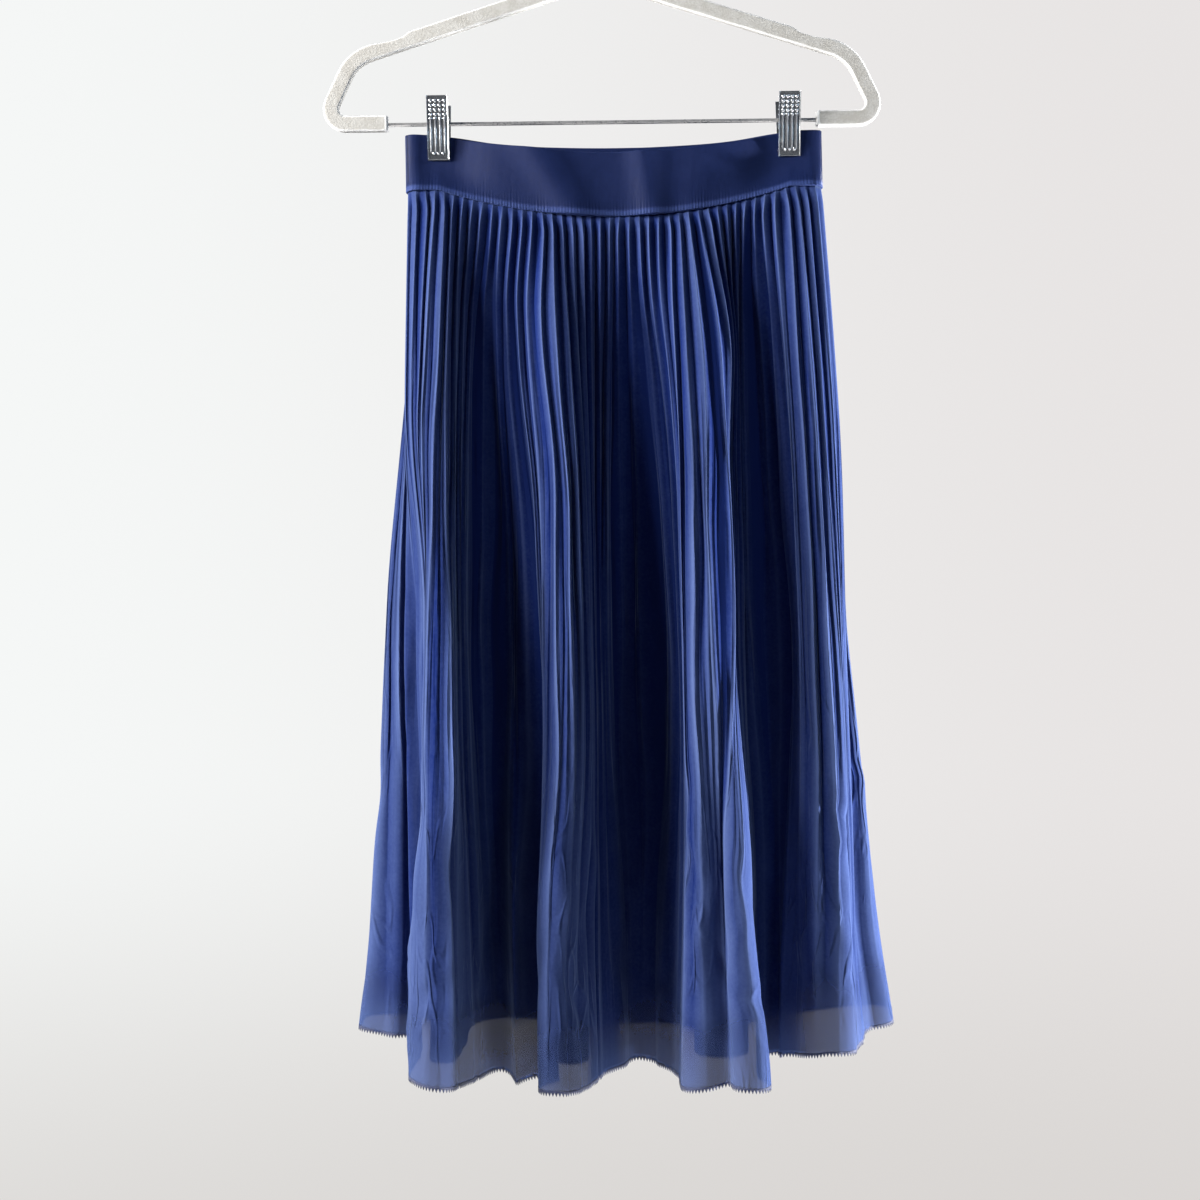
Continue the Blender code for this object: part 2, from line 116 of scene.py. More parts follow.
@dataclass
class Surface:
    """A mesh in the making: its points, its faces and what its points carry."""

    name: str
    points: Grid                   # with a last axis of x, y, z
    faces: Grid | Faces            # numbers of points
    uv: Grid | None = None         # metres along and down the cloth, for each point
    marks: dict[str, Grid] = field(default_factory=dict)    # named values for each point

    def __post_init__(self) -> None:
        """Lays the points out in one row, as their faces number them."""
        self.points = self.points.reshape(-1, 3)

    def build(self, material: Material, slot: Slot) -> Item:
        """Makes a smooth object at the origin, with its place in its mesh.

        Args:
            material: the finish.
            slot: not used.

        Returns:
            The new object, riding on the part's one body.
        """
        mesh = bpy.data.meshes.new(self.name)
        faces = self.faces.tolist() if isinstance(self.faces, np.ndarray) else self.faces
        mesh.from_pydata(self.points.tolist(), [], faces)
        if self.uv is not None:
            corners = np.empty(len(mesh.loops), dtype=np.int64)
            mesh.loops.foreach_get("vertex_index", corners)
            layer = mesh.uv_layers.new(name="cloth")
            layer.uv.foreach_set("vector", self.uv.reshape(-1, 2)[corners].astype(np.float32).ravel())
        for name, values in self.marks.items():
            mark = mesh.attributes.new(name, "FLOAT", "POINT")
            mark.data.foreach_set("value", np.asarray(values, np.float32).ravel())
        mesh.shade_smooth()
        mesh.materials.append(material)
        item = bpy.data.objects.new(self.name, mesh)
        bpy.context.scene.collection.objects.link(item)
        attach(item, BODY)
        log.info("%s: %d faces", self.name, len(mesh.polygons))
        return item


def thicken(item: Item, thickness: float) -> None:
    """Gives a sheet its thickness, half on each side, with a Solidify modifier.

    Args:
        item: the sheet.
        thickness: in metres.
    """
    wall = item.modifiers.new("thickness", "SOLIDIFY")
    wall.thickness = thickness
    wall.offset = 0.0
    wall.use_rim = True


def sweep(path: Grid, sides: Grid, ups: Grid, sections: Grid) -> Grid:
    """A profile carried along a path: path + side * a + up * b for each (a, b) of each section."""
    return path[:, None] + sides[:, None] * sections[..., :1] + ups[:, None] * sections[..., 1:]


def capped_faces(rings: int, sides: int) -> Faces:
    """Faces of rings that follow each other, with both ends closed by one face each.

    Args:
        rings: number of rings.
        sides: points in each.

    Returns:
        The faces as tuples of point numbers.
    """
    faces = [tuple(f) for f in grid_faces(rings, sides, wrap_columns=True).tolist()]
    last = (rings - 1) * sides
    return faces + [tuple(range(sides)), tuple(last + k for k in reversed(range(sides)))]


def circle(sides: int) -> Grid:
    """Points round a circle of radius 1, as an array (sides, 2)."""
    angle = np.arange(sides) * TURN / sides
    return np.stack([np.cos(angle), np.sin(angle)], axis=1)


def tube(name: str, path: Grid, radius: float, sides: int, end_round: float = 0.0) -> Surface:
    """A round wire: a circle carried along a path, with eased ends.

    One side of the circle keeps as near to one axis as the path lets it. Within the rounded ends
    the radius falls by sqrt(1 - blunt * (1 - reach)^2).

    Args:
        name: the piece's name.
        path: middle line, (n, 3).
        radius: of the wire.
        sides: points round it.
        end_round: length over which both ends are rounded off.

    Returns:
        The closed surface.
    """
    blunt, steep = 0.75, 0.9
    tangent = unit(np.gradient(path, axis=0))
    axis = [0.0, 1.0, 0.0] if abs(tangent[0, 1]) < steep else [1.0, 0.0, 0.0]
    side = unit(np.array(axis) - tangent * (tangent @ axis)[:, None])
    up = np.cross(tangent, side)
    scale = np.ones(len(path))
    if end_round > 0:
        run = length_run(path)
        reach = np.minimum(run, run[-1] - run) / end_round
        scale = np.sqrt(1.0 - (1.0 - np.clip(reach, 0.0, 1.0)) ** 2 * blunt)
    points = sweep(path, side, up, radius * circle(sides)[None] * scale[:, None, None])
    return Surface(name, points, capped_faces(len(path), sides))


def joined(name: str, mark: str, parts: list[Surface]) -> Surface:
    """Several closed surfaces as one, with one mark, which is 0 on a part that lacks it.

    Args:
        name: the piece's name.
        mark: name of the mark.
        parts: the surfaces.

    Returns:
        The whole.
    """
    starts = np.cumsum([0] + [len(part.points) for part in parts]).tolist()
    faces = [tuple(k + start for k in face) for part, start in zip(parts, starts) for face in part.faces]
    values = np.concatenate([part.marks.get(mark, np.zeros(len(part.points))) for part in parts])
    return Surface(name, np.concatenate([part.points for part in parts]), faces, marks={mark: values})


def even_path(path: Grid, spacing: float) -> Grid:
    """The same path with points evenly spaced along it.

    Args:
        path: points in any number of dimensions, (n, k).
        spacing: about how far apart the new points are.

    Returns:
        Array (m, k).
    """
    run = length_run(path)
    even = np.linspace(0, run[-1], int(run[-1] / spacing) + 1)
    return np.stack([np.interp(even, run, path[:, k]) for k in range(path.shape[1])], axis=1)


# ---------------------------------------------------------------- the cloth's form
class Fold(NamedTuple):
    """A level stretch of the hem's section, and the wall that leads on to the next one."""

    name: str
    pleat: float     # number of the pleat that hangs in its middle, from the left seam
    x: float         # its middle at the hem, from the skirt's own middle plane
    y: float         # its depth at the hem
    wall_x: float    # where the wall to the next row stands
    drop: float      # how much lower than the cut length its hem hangs
    steep: float = 1.35   # of the wall after it: 0 leans like a sine wave, 1 stands upright


FOLDS = tuple(Fold(*row) for row in (
    ("front hump 1", 4.9, -0.1375, -0.120, -0.1150, 0.009, 0.05),
    ("front valley 1", 10.0, -0.0950, -0.036, -0.0655, 0.004),
    ("front hump 2", 15.2, -0.0505, -0.101, -0.0225, 0.001, 0.20),
    ("front valley 2", 23.0, 0.0110, 0.008, 0.0400, 0.000, 1.20),
    ("front hump 3", 30.2, 0.0790, -0.117, 0.0975, 0.001, 0.65),
    ("front valley 3", 36.0, 0.1160, -0.028, 0.1330, 0.000, 0.80),
    ("front hump 4", 40.1, 0.1520, -0.069, 0.1850, 0.000, 0.20),
    ("right flank", 46.0, 0.2010, 0.000, 0.2180, 0.000),
    ("back hump 1", 51.0, 0.1500, 0.056, 0.0960, 0.000),
    ("back finger 1", 57.0, 0.0780, -0.044, 0.0560, 0.000),
    ("back hump 2", 63.5, 0.0180, 0.060, -0.0290, 0.000),
    ("back finger 2", 69.0, -0.0430, -0.050, -0.0550, 0.000),
    ("back hump 3", 75.0, -0.0900, 0.066, -0.1290, 0.000),
    ("back finger 3", 80.5, -0.1380, -0.074, -0.1500, 0.000),
    ("back hump 4", 84.0, -0.1830, 0.050, -0.2135, 0.000),
    ("left flank", 86.5, -0.1790, 0.002, -0.1600, 0.000),
))


class Ripple(NamedTuple):
    """A smaller fold on top of the deep ones, or a valley where it stands inwards."""

    name: str
    pleat: float          # where it hangs, from the left seam
    width: float          # half its width, in pleats
    out: float            # how far it stands out at its fullest, in metres
    across: float = 0.0   # how far it is pushed to higher pleats
    start: float = 0.0    # way down where it begins
    full: float = 1.0     # way down where it is fullest
    ease: float = 2.0     # way down where it begins to die out
    end: float = 3.0      # way down where it is gone
    aside: float = 0.0    # pleats further on that it begins at the waist


RIPPLES = tuple(Ripple(*row) for row in (
    ("upper valley 1", 9.6, 2.3, -0.014, 0, -0.02, 0.12, 0.45, 0.90, -2.8),
    ("pull into valley 1", 11.6, 2.4, 0, -0.006, -0.01, 0.12, 0.18, 0.42),
    ("upper valley 2", 23.6, 2.8, -0.009, 0, 0.03, 0.20, 0.50, 0.85, -0.6),
    ("upper valley 3", 36.0, 2.5, -0.013, 0, -0.02, 0.12, 0.45, 0.90, -1.4),
    ("pull into valley 3", 31.5, 2.8, 0, 0.011, -0.01, 0.20, 0.40, 0.80),
    ("upper crest 2", 17.4, 2.0, 0.008, 0, 0, 0.14, 0.55, 0.88, -3.0),
    ("upper crest 3", 29.0, 2.4, 0.004, 0, 0, 0.12, 0.40, 0.75, -1.4),
    ("left of hump 1", 2.2, 2.0, 0, 0.014, 0.25, 0.50, 0.68, 0.92, -0.2),
    ("crest right of hump 1", 5.1, 0.8, 0.009, 0, 0.35, 0.52, 0.66, 0.78),
    ("crest of hump 1", 5.2, 0.6, 0.0045, 0, 0.60, 0.80),
    ("groove in hump 1", 0.6, 0.35, -0.006, 0, 0.25, 0.45, 0.75, 0.90),
    ("strip in valley 1", 11.0, 0.7, 0.030, 0.005, 0.40, 0.90),
    ("groove before hump 2", 12.2, 0.8, -0.010, 0.004, 0.35, 0.80),
    ("edge of hump 2", 14.6, 2.3, 0, 0.011, 0.10, 0.36, 0.60, 0.88),
    ("shoulder of hump 2", 18.7, 0.9, 0.0012, 0, 0.60, 1.00),
    ("ridge in valley 2", 24.4, 1.1, 0.010, 0, 0.55, 1.00),
    ("second ridge in valley 2", 21.5, 1.0, 0.008, 0, 0.60, 1.00),
    ("edge of hump 3", 26.0, 1.8, 0.002, 0.010, 0.05, 0.35, 0.70, 1.10),
    ("left crest of hump 3", 28.4, 0.8, 0.006, 0, 0.45, 0.80),
    ("hollow of hump 3", 29.6, 1.4, -0.024, 0, 0.50, 0.80),
    ("right crest of hump 3", 31.75, 0.75, 0.032, -0.029, 0.50, 0.80),
    ("foot of hump 3", 31.75, 0.9, 0, 0.010, 0.80, 1.00),
    ("right face of hump 3", 32.2, 1.6, -0.014, 0, 0.10, 0.32, 0.50, 0.78),
    ("left flank in", 85.3, 2.0, 0, 0.005, 0.40, 0.70, 0.88, 1.02),
    ("right flank in", 45.5, 3.0, 0, -0.009, 0.25, 0.60, 0.85, 1.05),
    ("wave in valley 3", 37.2, 0.7, 0.014, 0, 0.50, 1.00),
    ("crest of hump 4", 41.3, 0.7, 0.005, 0, 0.30, 0.70),
    ("back upper crest 1", 52.0, 2.7, 0.006, 0, 0, 0.12, 0.50, 0.95, 1.6),
    ("back upper crest 2", 65.5, 3.0, 0.006, 0, 0, 0.15, 0.50, 0.95, 1.5),
    ("back upper crest 3", 78.6, 3.0, 0.006, 0, 0, 0.12, 0.50, 0.95, 3.2),
    ("back upper valley 1", 59.0, 2.2, -0.004, 0, 0.02, 0.16, 0.45, 0.90, 1.4),
    ("back upper valley 2", 72.7, 2.0, -0.004, 0, 0.02, 0.16, 0.45, 0.90, 1.6),
    ("back ripple 1", 49.3, 0.9, 0.006, 0, 0.45, 1.00),
    ("back ripple 2", 53.4, 0.8, -0.005, 0, 0.50, 1.00),
    ("back ripple 3", 60.6, 0.9, 0.006, 0, 0.40, 1.00),
    ("back ripple 4", 65.4, 0.8, 0.005, 0, 0.55, 1.00),
    ("back ripple 5", 73.2, 0.9, 0.006, 0, 0.45, 1.00),
    ("back ripple 6", 77.4, 0.8, -0.004, 0, 0.50, 1.00),
    ("edge of left flank", 86.4, 0.28, 0.005, 0, 0.25, 0.60),
    ("groove in left flank", 86.9, 0.18, -0.007, 0, 0.20, 0.50, 0.70, 0.90),
    ("strip beside hump 1", 87.3, 0.20, 0.007, 0, 0.30, 0.60),
    ("groove beside hump 1", 87.75, 0.25, -0.009, 0, 0.30, 0.60, 0.72, 0.94),
))


class Trough(NamedTuple):
    """A soft crease in worn cloth: a trough, or a ridge where its depth is negative."""

    pleat: float     # its middle
    down: float
    slant: float     # degrees from hanging straight, positive leans to higher pleats below
    length: float    # metres
    width: float     # metres
    depth: float     # metres


TROUGHS = tuple(Trough(*row) for row in (
    (2.6, 0.835, 18, 0.069, 0.0063, 0.0034), (3.1, 0.872, -22, 0.062, 0.0056, -0.0027),
    (3.9, 0.800, 9, 0.088, 0.0075, -0.0029), (4.7, 0.905, -35, 0.053, 0.0063, 0.0029),
    (5.4, 0.765, 14, 0.075, 0.0069, 0.0025), (4.2, 0.700, -12, 0.075, 0.0063, 0.0023),
    (3.0, 0.955, 28, 0.043, 0.0052, -0.0021), (9.4, 0.840, -16, 0.088, 0.0075, 0.0025),
    (10.9, 0.760, 8, 0.100, 0.0063, -0.0021), (8.6, 0.920, 22, 0.056, 0.0063, 0.0023),
    (14.2, 0.860, -20, 0.088, 0.0081, 0.0022), (15.6, 0.790, 15, 0.106, 0.0075, -0.0029),
    (16.4, 0.900, 32, 0.062, 0.0063, 0.0029), (17.3, 0.835, -14, 0.081, 0.0069, 0.0025),
    (15.0, 0.945, -42, 0.043, 0.0056, -0.0023), (18.2, 0.745, 10, 0.088, 0.0075, -0.0025),
    (21.4, 0.870, 12, 0.094, 0.0088, 0.0027), (23.1, 0.800, -9, 0.112, 0.0075, -0.0025),
    (24.6, 0.900, -26, 0.062, 0.0069, 0.0025), (27.6, 0.690, -20, 0.075, 0.0075, 0.0025),
    (28.0, 0.760, 24, 0.075, 0.0075, 0.0029), (28.9, 0.815, -18, 0.094, 0.0075, -0.0034),
    (29.8, 0.880, 46, 0.057, 0.0069, 0.0038), (30.6, 0.850, -30, 0.075, 0.0069, -0.0032),
    (31.3, 0.905, 70, 0.037, 0.0063, 0.0029), (30.2, 0.735, -16, 0.088, 0.0063, 0.0027),
    (29.2, 0.930, 14, 0.075, 0.0088, -0.0029), (31.6, 0.780, 20, 0.062, 0.0056, 0.0025),
    (34.4, 0.860, -12, 0.075, 0.0075, 0.0025), (36.0, 0.790, 10, 0.100, 0.0075, -0.0023),
    (45.9, 0.675, 50, 0.046, 0.0056, 0.0017), (46.1, 0.700, 48, 0.042, 0.0052, -0.0013),
    (41.3, 0.735, 52, 0.040, 0.0056, 0.0027), (40.9, 0.765, 48, 0.038, 0.0052, -0.0023),
    (41.6, 0.780, -15, 0.075, 0.0063, 0.0027), (40.6, 0.850, 20, 0.088, 0.0075, -0.0027),
    (42.2, 0.900, -28, 0.056, 0.0063, 0.0027), (38.8, 0.920, 16, 0.062, 0.0075, 0.0023),
    (45.2, 0.820, -14, 0.088, 0.0088, 0.0027), (46.4, 0.700, 18, 0.075, 0.0075, -0.0016),
    (49.6, 0.780, -18, 0.088, 0.0075, 0.0029), (50.8, 0.860, 24, 0.069, 0.0069, -0.0027),
    (52.0, 0.915, -36, 0.055, 0.0063, 0.0027), (54.6, 0.700, 12, 0.100, 0.0075, 0.0025),
    (56.4, 0.880, -14, 0.075, 0.0075, -0.0023), (58.8, 0.820, 20, 0.081, 0.0075, 0.0027),
    (61.2, 0.740, -16, 0.100, 0.0081, -0.0027), (62.4, 0.860, 38, 0.062, 0.0069, 0.0032),
    (63.6, 0.800, -22, 0.088, 0.0075, -0.0029), (64.8, 0.920, 16, 0.056, 0.0063, 0.0025),
    (66.9, 0.670, 50, 0.053, 0.0063, 0.0027), (68.4, 0.850, -12, 0.075, 0.0075, 0.0023),
    (71.2, 0.790, 18, 0.094, 0.0075, -0.0025), (73.4, 0.880, -30, 0.069, 0.0069, 0.0029),
    (74.8, 0.830, 14, 0.088, 0.0075, -0.0027), (75.9, 0.910, 44, 0.053, 0.0060, 0.0029),
    (78.2, 0.720, -14, 0.088, 0.0075, 0.0025), (80.6, 0.870, 12, 0.075, 0.0075, -0.0023),
    (82.6, 0.800, -24, 0.081, 0.0069, 0.0027), (84.2, 0.880, 20, 0.062, 0.0069, -0.0025),
    (85.4, 0.730, -12, 0.088, 0.0075, 0.0025),
))

DOUBLED = ((35.4, 2.8), (19.6, 1.6))   # pleat and width of each place where the hem lies two deep


@dataclass(frozen=True)
class SkirtSizes:
    """Driving sizes of the skirt, the same as its solids'."""

    middle_x: float = 0.0092
    waist_half: float = 0.1650
    waist_open: float = 0.0090
    waist_pinched: float = 0.00145
    clip_spread: float = 0.1398
    band_wall: float = 0.0016
    band_top: float = -0.2240
    band_seam: float = -0.2702
    front_top_sag: float = 0.0178
    front_seam_sag: float = 0.0225
    back_sag_share: float = 0.50
    panel_length: float = 0.6720
    seam_gap: float = 0.0003
    fold_growth: float = 0.82
    side_swell: float = 0.0062
    seam_rise: float = 0.0018       # way that the cloth goes up inside the band
    seam_set: float = 0.0004        # how far inwards it stands there
    seam_ease: float = 0.011        # way down where it has come out again
    pleats_each: int = 44

    @property
    def pleats_round(self) -> int:
        """Pleats on both panels."""
        return 2 * self.pleats_each

    @property
    def band_height(self) -> float:
        """Height of the waistband."""
        return self.band_top - self.band_seam


SIZES = SkirtSizes()


class SkirtForm:
    """The tube of cloth without its pleats, as a function of pleat number and way down."""

    def __init__(self, sizes: SkirtSizes, steps: int = 160) -> None:
        """Lays out the hem, with so many steps from each level of it to the next."""
        self.s = sizes
        self.hem = self._hem_table(steps)

    def sag(self, x: Grid) -> Grid:
        """0 at the clips and beyond, 1 midway: 1 - (x / spread)^2."""
        return np.clip(1.0 - ((x - self.s.middle_x) / self.s.clip_spread) ** 2, 0.0, 1.0)

    def edge_z(self, x: Grid, y: Grid, level: float, front_sag: float) -> Grid:
        """Height of an edge of the band that lies at a level and sags less at the back."""
        is_back = np.clip(0.5 + y / (2 * self.s.waist_open), 0.0, 1.0)
        return level - front_sag * (1.0 - (1.0 - self.s.back_sag_share) * is_back) * self.sag(x)

    def waist(self, pleat: Grid) -> tuple[Grid, Grid]:
        """The waist's oval: straight runs front and back, joined by half circles.

        Args:
            pleat: pleat numbers, 0 at the left end and 44 at the right one.

        Returns:
            x and y.
        """
        s = self.s
        straight, turn = 2 * (s.waist_half - s.waist_open), math.pi * s.waist_open
        run = np.mod(pleat, s.pleats_round) / s.pleats_round * 2 * (straight + turn)
        on_back = run > straight + turn
        run = np.where(on_back, run - straight - turn, run)
        first = np.clip(run, 0, turn / 2) / s.waist_open
        last = np.clip(run - turn / 2 - straight, 0, turn / 2) / s.waist_open
        along = np.clip(run - turn / 2, 0, straight)
        x = -s.waist_half + s.waist_open * (1 - np.cos(first) + np.sin(last)) + along
        y = -s.waist_open * np.where(last > 0, np.cos(last), np.sin(first))
        flip = np.where(on_back, -1.0, 1.0)
        return flip * x + s.middle_x, flip * y

    @staticmethod
    def _half_fold(here: Fold, there: Fold, q: Grid) -> tuple[Grid, Grid, Grid]:
        """From the middle of one level to the next: the depth is half a cosine wave, and the
        way across is q + steepness * sin(2 pi q) / (2 pi), which stands nearly still at the wall.

        Args:
            here: the level that it leaves.
            there: the level that it comes to.
            q: way from one to the other, 0 to 1.

        Returns:
            x, y and drop.
        """
        ease = (1 - np.cos(math.pi * q)) / 2
        run = q + here.steep * np.sin(TURN * q) / TURN
        x = np.where(
            q < 0.5,
            here.x + 2 * (here.wall_x - here.x) * run,
            there.x + 2 * (here.wall_x - there.x) * (1 - run),
        )
        return x, here.y + (there.y - here.y) * ease, here.drop + (there.drop - here.drop) * ease

    def _hem_table(self, steps: int) -> Grid:
        """The hem, with its pleats evenly laid in each half fold.

        Args:
            steps: points in each half fold.

        Returns:
            Rows of pleat, x, y and drop.
        """
        q = np.linspace(0, 1, steps, endpoint=False)
        columns = []
        for here, there in zip(FOLDS, FOLDS[1:] + FOLDS[:1]):
            span = (there.pleat - here.pleat) % self.s.pleats_round
            x, y, drop = self._half_fold(here, there, np.append(q, 1.0))
            run = np.concatenate([[0.0], np.cumsum(np.hypot(np.diff(x), np.diff(y)))])
            pleat = here.pleat + span * run / run[-1]
            columns.append(np.stack([pleat, x + self.s.middle_x, y, drop])[:, :-1])
        return np.concatenate(columns, axis=1)

    def points(self, pleat: Grid, down: Grid) -> Grid:
        """Points of the plain tube: a blend from the waist's oval to the hem's folds.

        The depth grows as a power of the way down, and the flanks swell by half a sine wave.

        Args:
            pleat: pleat numbers.
            down: 0 at the seam, 1 at the hem.

        Returns:
            Array with a last axis of x, y, z.
        """
        s = self.s
        waist_x, waist_y = self.waist(pleat)
        hem_x, hem_y, drop = (
            np.interp(pleat, self.hem[0], row, period=s.pleats_round) for row in self.hem[1:]
        )
        fall = np.sqrt(s.panel_length**2 - (hem_x - waist_x) ** 2 - (hem_y - waist_y) ** 2) + drop
        seam = self.edge_z(waist_x, waist_y, s.band_seam, s.front_seam_sag)
        rise = np.maximum(down, 0.0)
        swell = s.side_swell * np.sin(math.pi * rise) * (waist_x - s.middle_x) / s.waist_half
        return np.stack(
            [
                waist_x + (hem_x - waist_x) * down + swell,
                waist_y + (hem_y - waist_y) * rise**s.fold_growth,
                seam - s.seam_gap - fall * down,
            ],
            axis=-1,
        )

    def outward(self, pleat: Grid, down: Grid, reach: float = 0.5) -> tuple[Grid, Grid]:
        """Level unit vectors that point out of the tube, and the spacing of the pleats.

        Args:
            pleat: pleat numbers.
            down: way down.
            reach: half the stretch, in pleats, over which the slope is taken.

        Returns:
            Vectors and spacing.
        """
        step = self.points(pleat + reach, down) - self.points(pleat - reach, down)
        length = np.hypot(step[..., 0], step[..., 1])
        normal = np.stack([step[..., 1], -step[..., 0], np.zeros_like(length)], axis=-1)
        return normal / length[..., None], length / (2 * reach)


@dataclass
class PressedPleats:
    """The accordion creases. Crease 2k is the valley before pleat k, crease 2k + 1 its ridge.

    Each crease wanders sideways and in depth by a sum of slow waves down its length, and each
    ridge leans to one side, in groups, so that one facet of its pleat is wide and one narrow.
    """

    depth_waist: float = 0.0052
    depth_hem: float = 0.0012
    fade: float = 0.80             # power of the fall in depth
    fade_length: float = 0.35      # way over which a crease that fades does so
    tucked: float = 0.16           # share of the depth in the seam
    tuck_end: float = 0.020        # way down where a pleat has its whole depth
    end_cut: float = 0.50          # share of the depth that is missing beside both seams
    end_reach: float = 3.5         # pleats over which that share falls off
    end_fade: tuple[float, float] = (0.3, 0.7)     # way down over which it is made up
    ridge_share: float = 0.30      # of the depth that stands outside the plain form
    wander: float = 0.16           # sideways, in pleats
    begun: tuple[float, float] = (-0.01, 0.03)     # way down over which the wander begins
    free_from: float = 0.40        # way down where it is at its fullest
    bend: float = 0.30             # of a facet's middle, as a share of its height
    lean: float = 0.21             # of a ridge, in pleats
    lean_lost: float = 0.6         # share of the lean that is gone at the hem
    lean_fade: tuple[float, float] = (0.3, 0.8)    # way down over which it goes
    lean_stations: tuple[tuple[float, float], ...] = (
        (0.0, 1.4), (3.5, 1.4), (5.0, -0.2), (6.5, -1.3), (9.0, -1.2), (10.5, 0.2), (12.0, 0.8),
        (17.0, 1.1), (20.0, 0.2), (23.0, -0.7), (26.0, -0.5), (28.0, 1.1), (31.0, 0.6), (33.0, -0.9),
        (38.0, -1.3), (39.5, 0.9), (43.0, 0.8), (50.0, -0.8), (56.0, 0.8), (62.0, -0.8), (68.0, 0.9),
        (74.0, -0.9), (80.0, 0.8), (85.0, -0.4),
    )                              # share of the lean, by pleat
    unevenness: float = 0.36       # of the depth
    sharp_waist: float = 0.05      # 0 is a knife edge, 1 a round one
    sharp_hem: float = 0.60
    softens: tuple[float, float] = (0.50, 1.05)    # way down over which one becomes the other
    seed: int = 7

    def __post_init__(self) -> None:
        """Draws each crease's own waves."""
        rng = np.random.default_rng(self.seed)
        count = 2 * SIZES.pleats_round
        self.side_phase = rng.uniform(0, TURN, (count, 4))
        self.depth_phase = rng.uniform(0, TURN, (count, 4))
        self.fade_from = rng.uniform(0.30, 0.90, count)
        self.kept = rng.uniform(0.10, 1.0, count) ** 1.5
        places, amounts = np.array(self.lean_stations).T
        zone = np.interp(np.arange(count) / 2, places, amounts, period=SIZES.pleats_round)
        own = rng.uniform(-0.60, 0.60, count)
        self.leans = np.where(np.arange(count) % 2 == 1, self.lean * (zone + own), 0.0)
        self.bends = self.bend * rng.uniform(-1.0, 1.0, count)

    @staticmethod
    def waves(phase: Grid, down: Grid) -> Grid:
        """Four sines of the way down, at 0.6, 1.4, 2.9 and 5.3 turns, with falling height."""
        turns, highs = (0.6, 1.4, 2.9, 5.3), (0.85, 0.50, 0.28, 0.14)
        return sum(highs[k] * np.sin(TURN * turns[k] * down + phase[..., k]) for k in range(4))

    def crease(self, number: Grid, down: Grid) -> tuple[Grid, Grid]:
        """One crease, given its number.

        Its shift is its wander and its lean. Its height is the pleats' depth, which falls down the
        panel, times its own waves, its own fading, the cut beside the seams and the tuck.

        Args:
            number: crease numbers.
            down: way down.

        Returns:
            Sideways shift in pleats, and height in metres.
        """
        k = np.mod(number, len(self.fade_from))
        free = smoothstep(0.0, self.free_from, down)
        lean = self.leans[k] * (1 - self.lean_lost * smoothstep(*self.lean_fade, down))
        wander = self.wander * (0.45 + 0.55 * free) * self.waves(self.side_phase[k], down)
        shift = smoothstep(*self.begun, down) * (wander + lean)
        depth = self.depth_hem + (self.depth_waist - self.depth_hem) * (1 - np.clip(down, 0, 1)) ** self.fade
        depth = depth * (1 + self.unevenness * self.waves(self.depth_phase[k], down) * (0.65 + 0.35 * free))
        faded = smoothstep(0.0, self.fade_length, down - self.fade_from[k])
        depth = depth * (1 - faded * (1 - self.kept[k]))
        each = SIZES.pleats_each
        from_seam = np.abs(np.mod(k / 2 + each / 2, each) - each / 2)
        near_seam = bell(from_seam, 0.0, self.end_reach) * (1 - smoothstep(*self.end_fade, down))
        depth = depth * (1 - self.end_cut * near_seam)
        depth = depth * (self.tucked + (1 - self.tucked) * smoothstep(0.0, self.tuck_end, down))
        return shift, np.where(k % 2 == 1, self.ridge_share, self.ridge_share - 1) * depth

    def displacement(self, pleat: Grid, down: Grid) -> tuple[Grid, Grid]:
        """Between two creases the way runs evenly, with a rounding at both: q - r sin(2 pi q) / (2 pi),
        and its middle is bent in or out by a share of its height.

        Args:
            pleat: pleat numbers.
            down: way down.

        Returns:
            Sideways shift in pleats, and height in metres.
        """
        number = np.floor(2 * pleat).astype(int)
        q = 2 * pleat - number
        here_shift, here_height = self.crease(number, down)
        there_shift, there_height = self.crease(number + 1, down)
        softened = smoothstep(*self.softens, down)
        rounding = self.sharp_waist + (self.sharp_hem - self.sharp_waist) * softened
        run = q - rounding * np.sin(TURN * q) / TURN
        fall = there_height - here_height
        bent = np.abs(fall) * self.bends[np.mod(number, len(self.bends))] * (1 - np.abs(2 * q - 1))
        bent = bent * (0.75 + 0.25 * smoothstep(0.1, 0.5, down))
        return here_shift + (there_shift - here_shift) * q, here_height + fall * run + bent


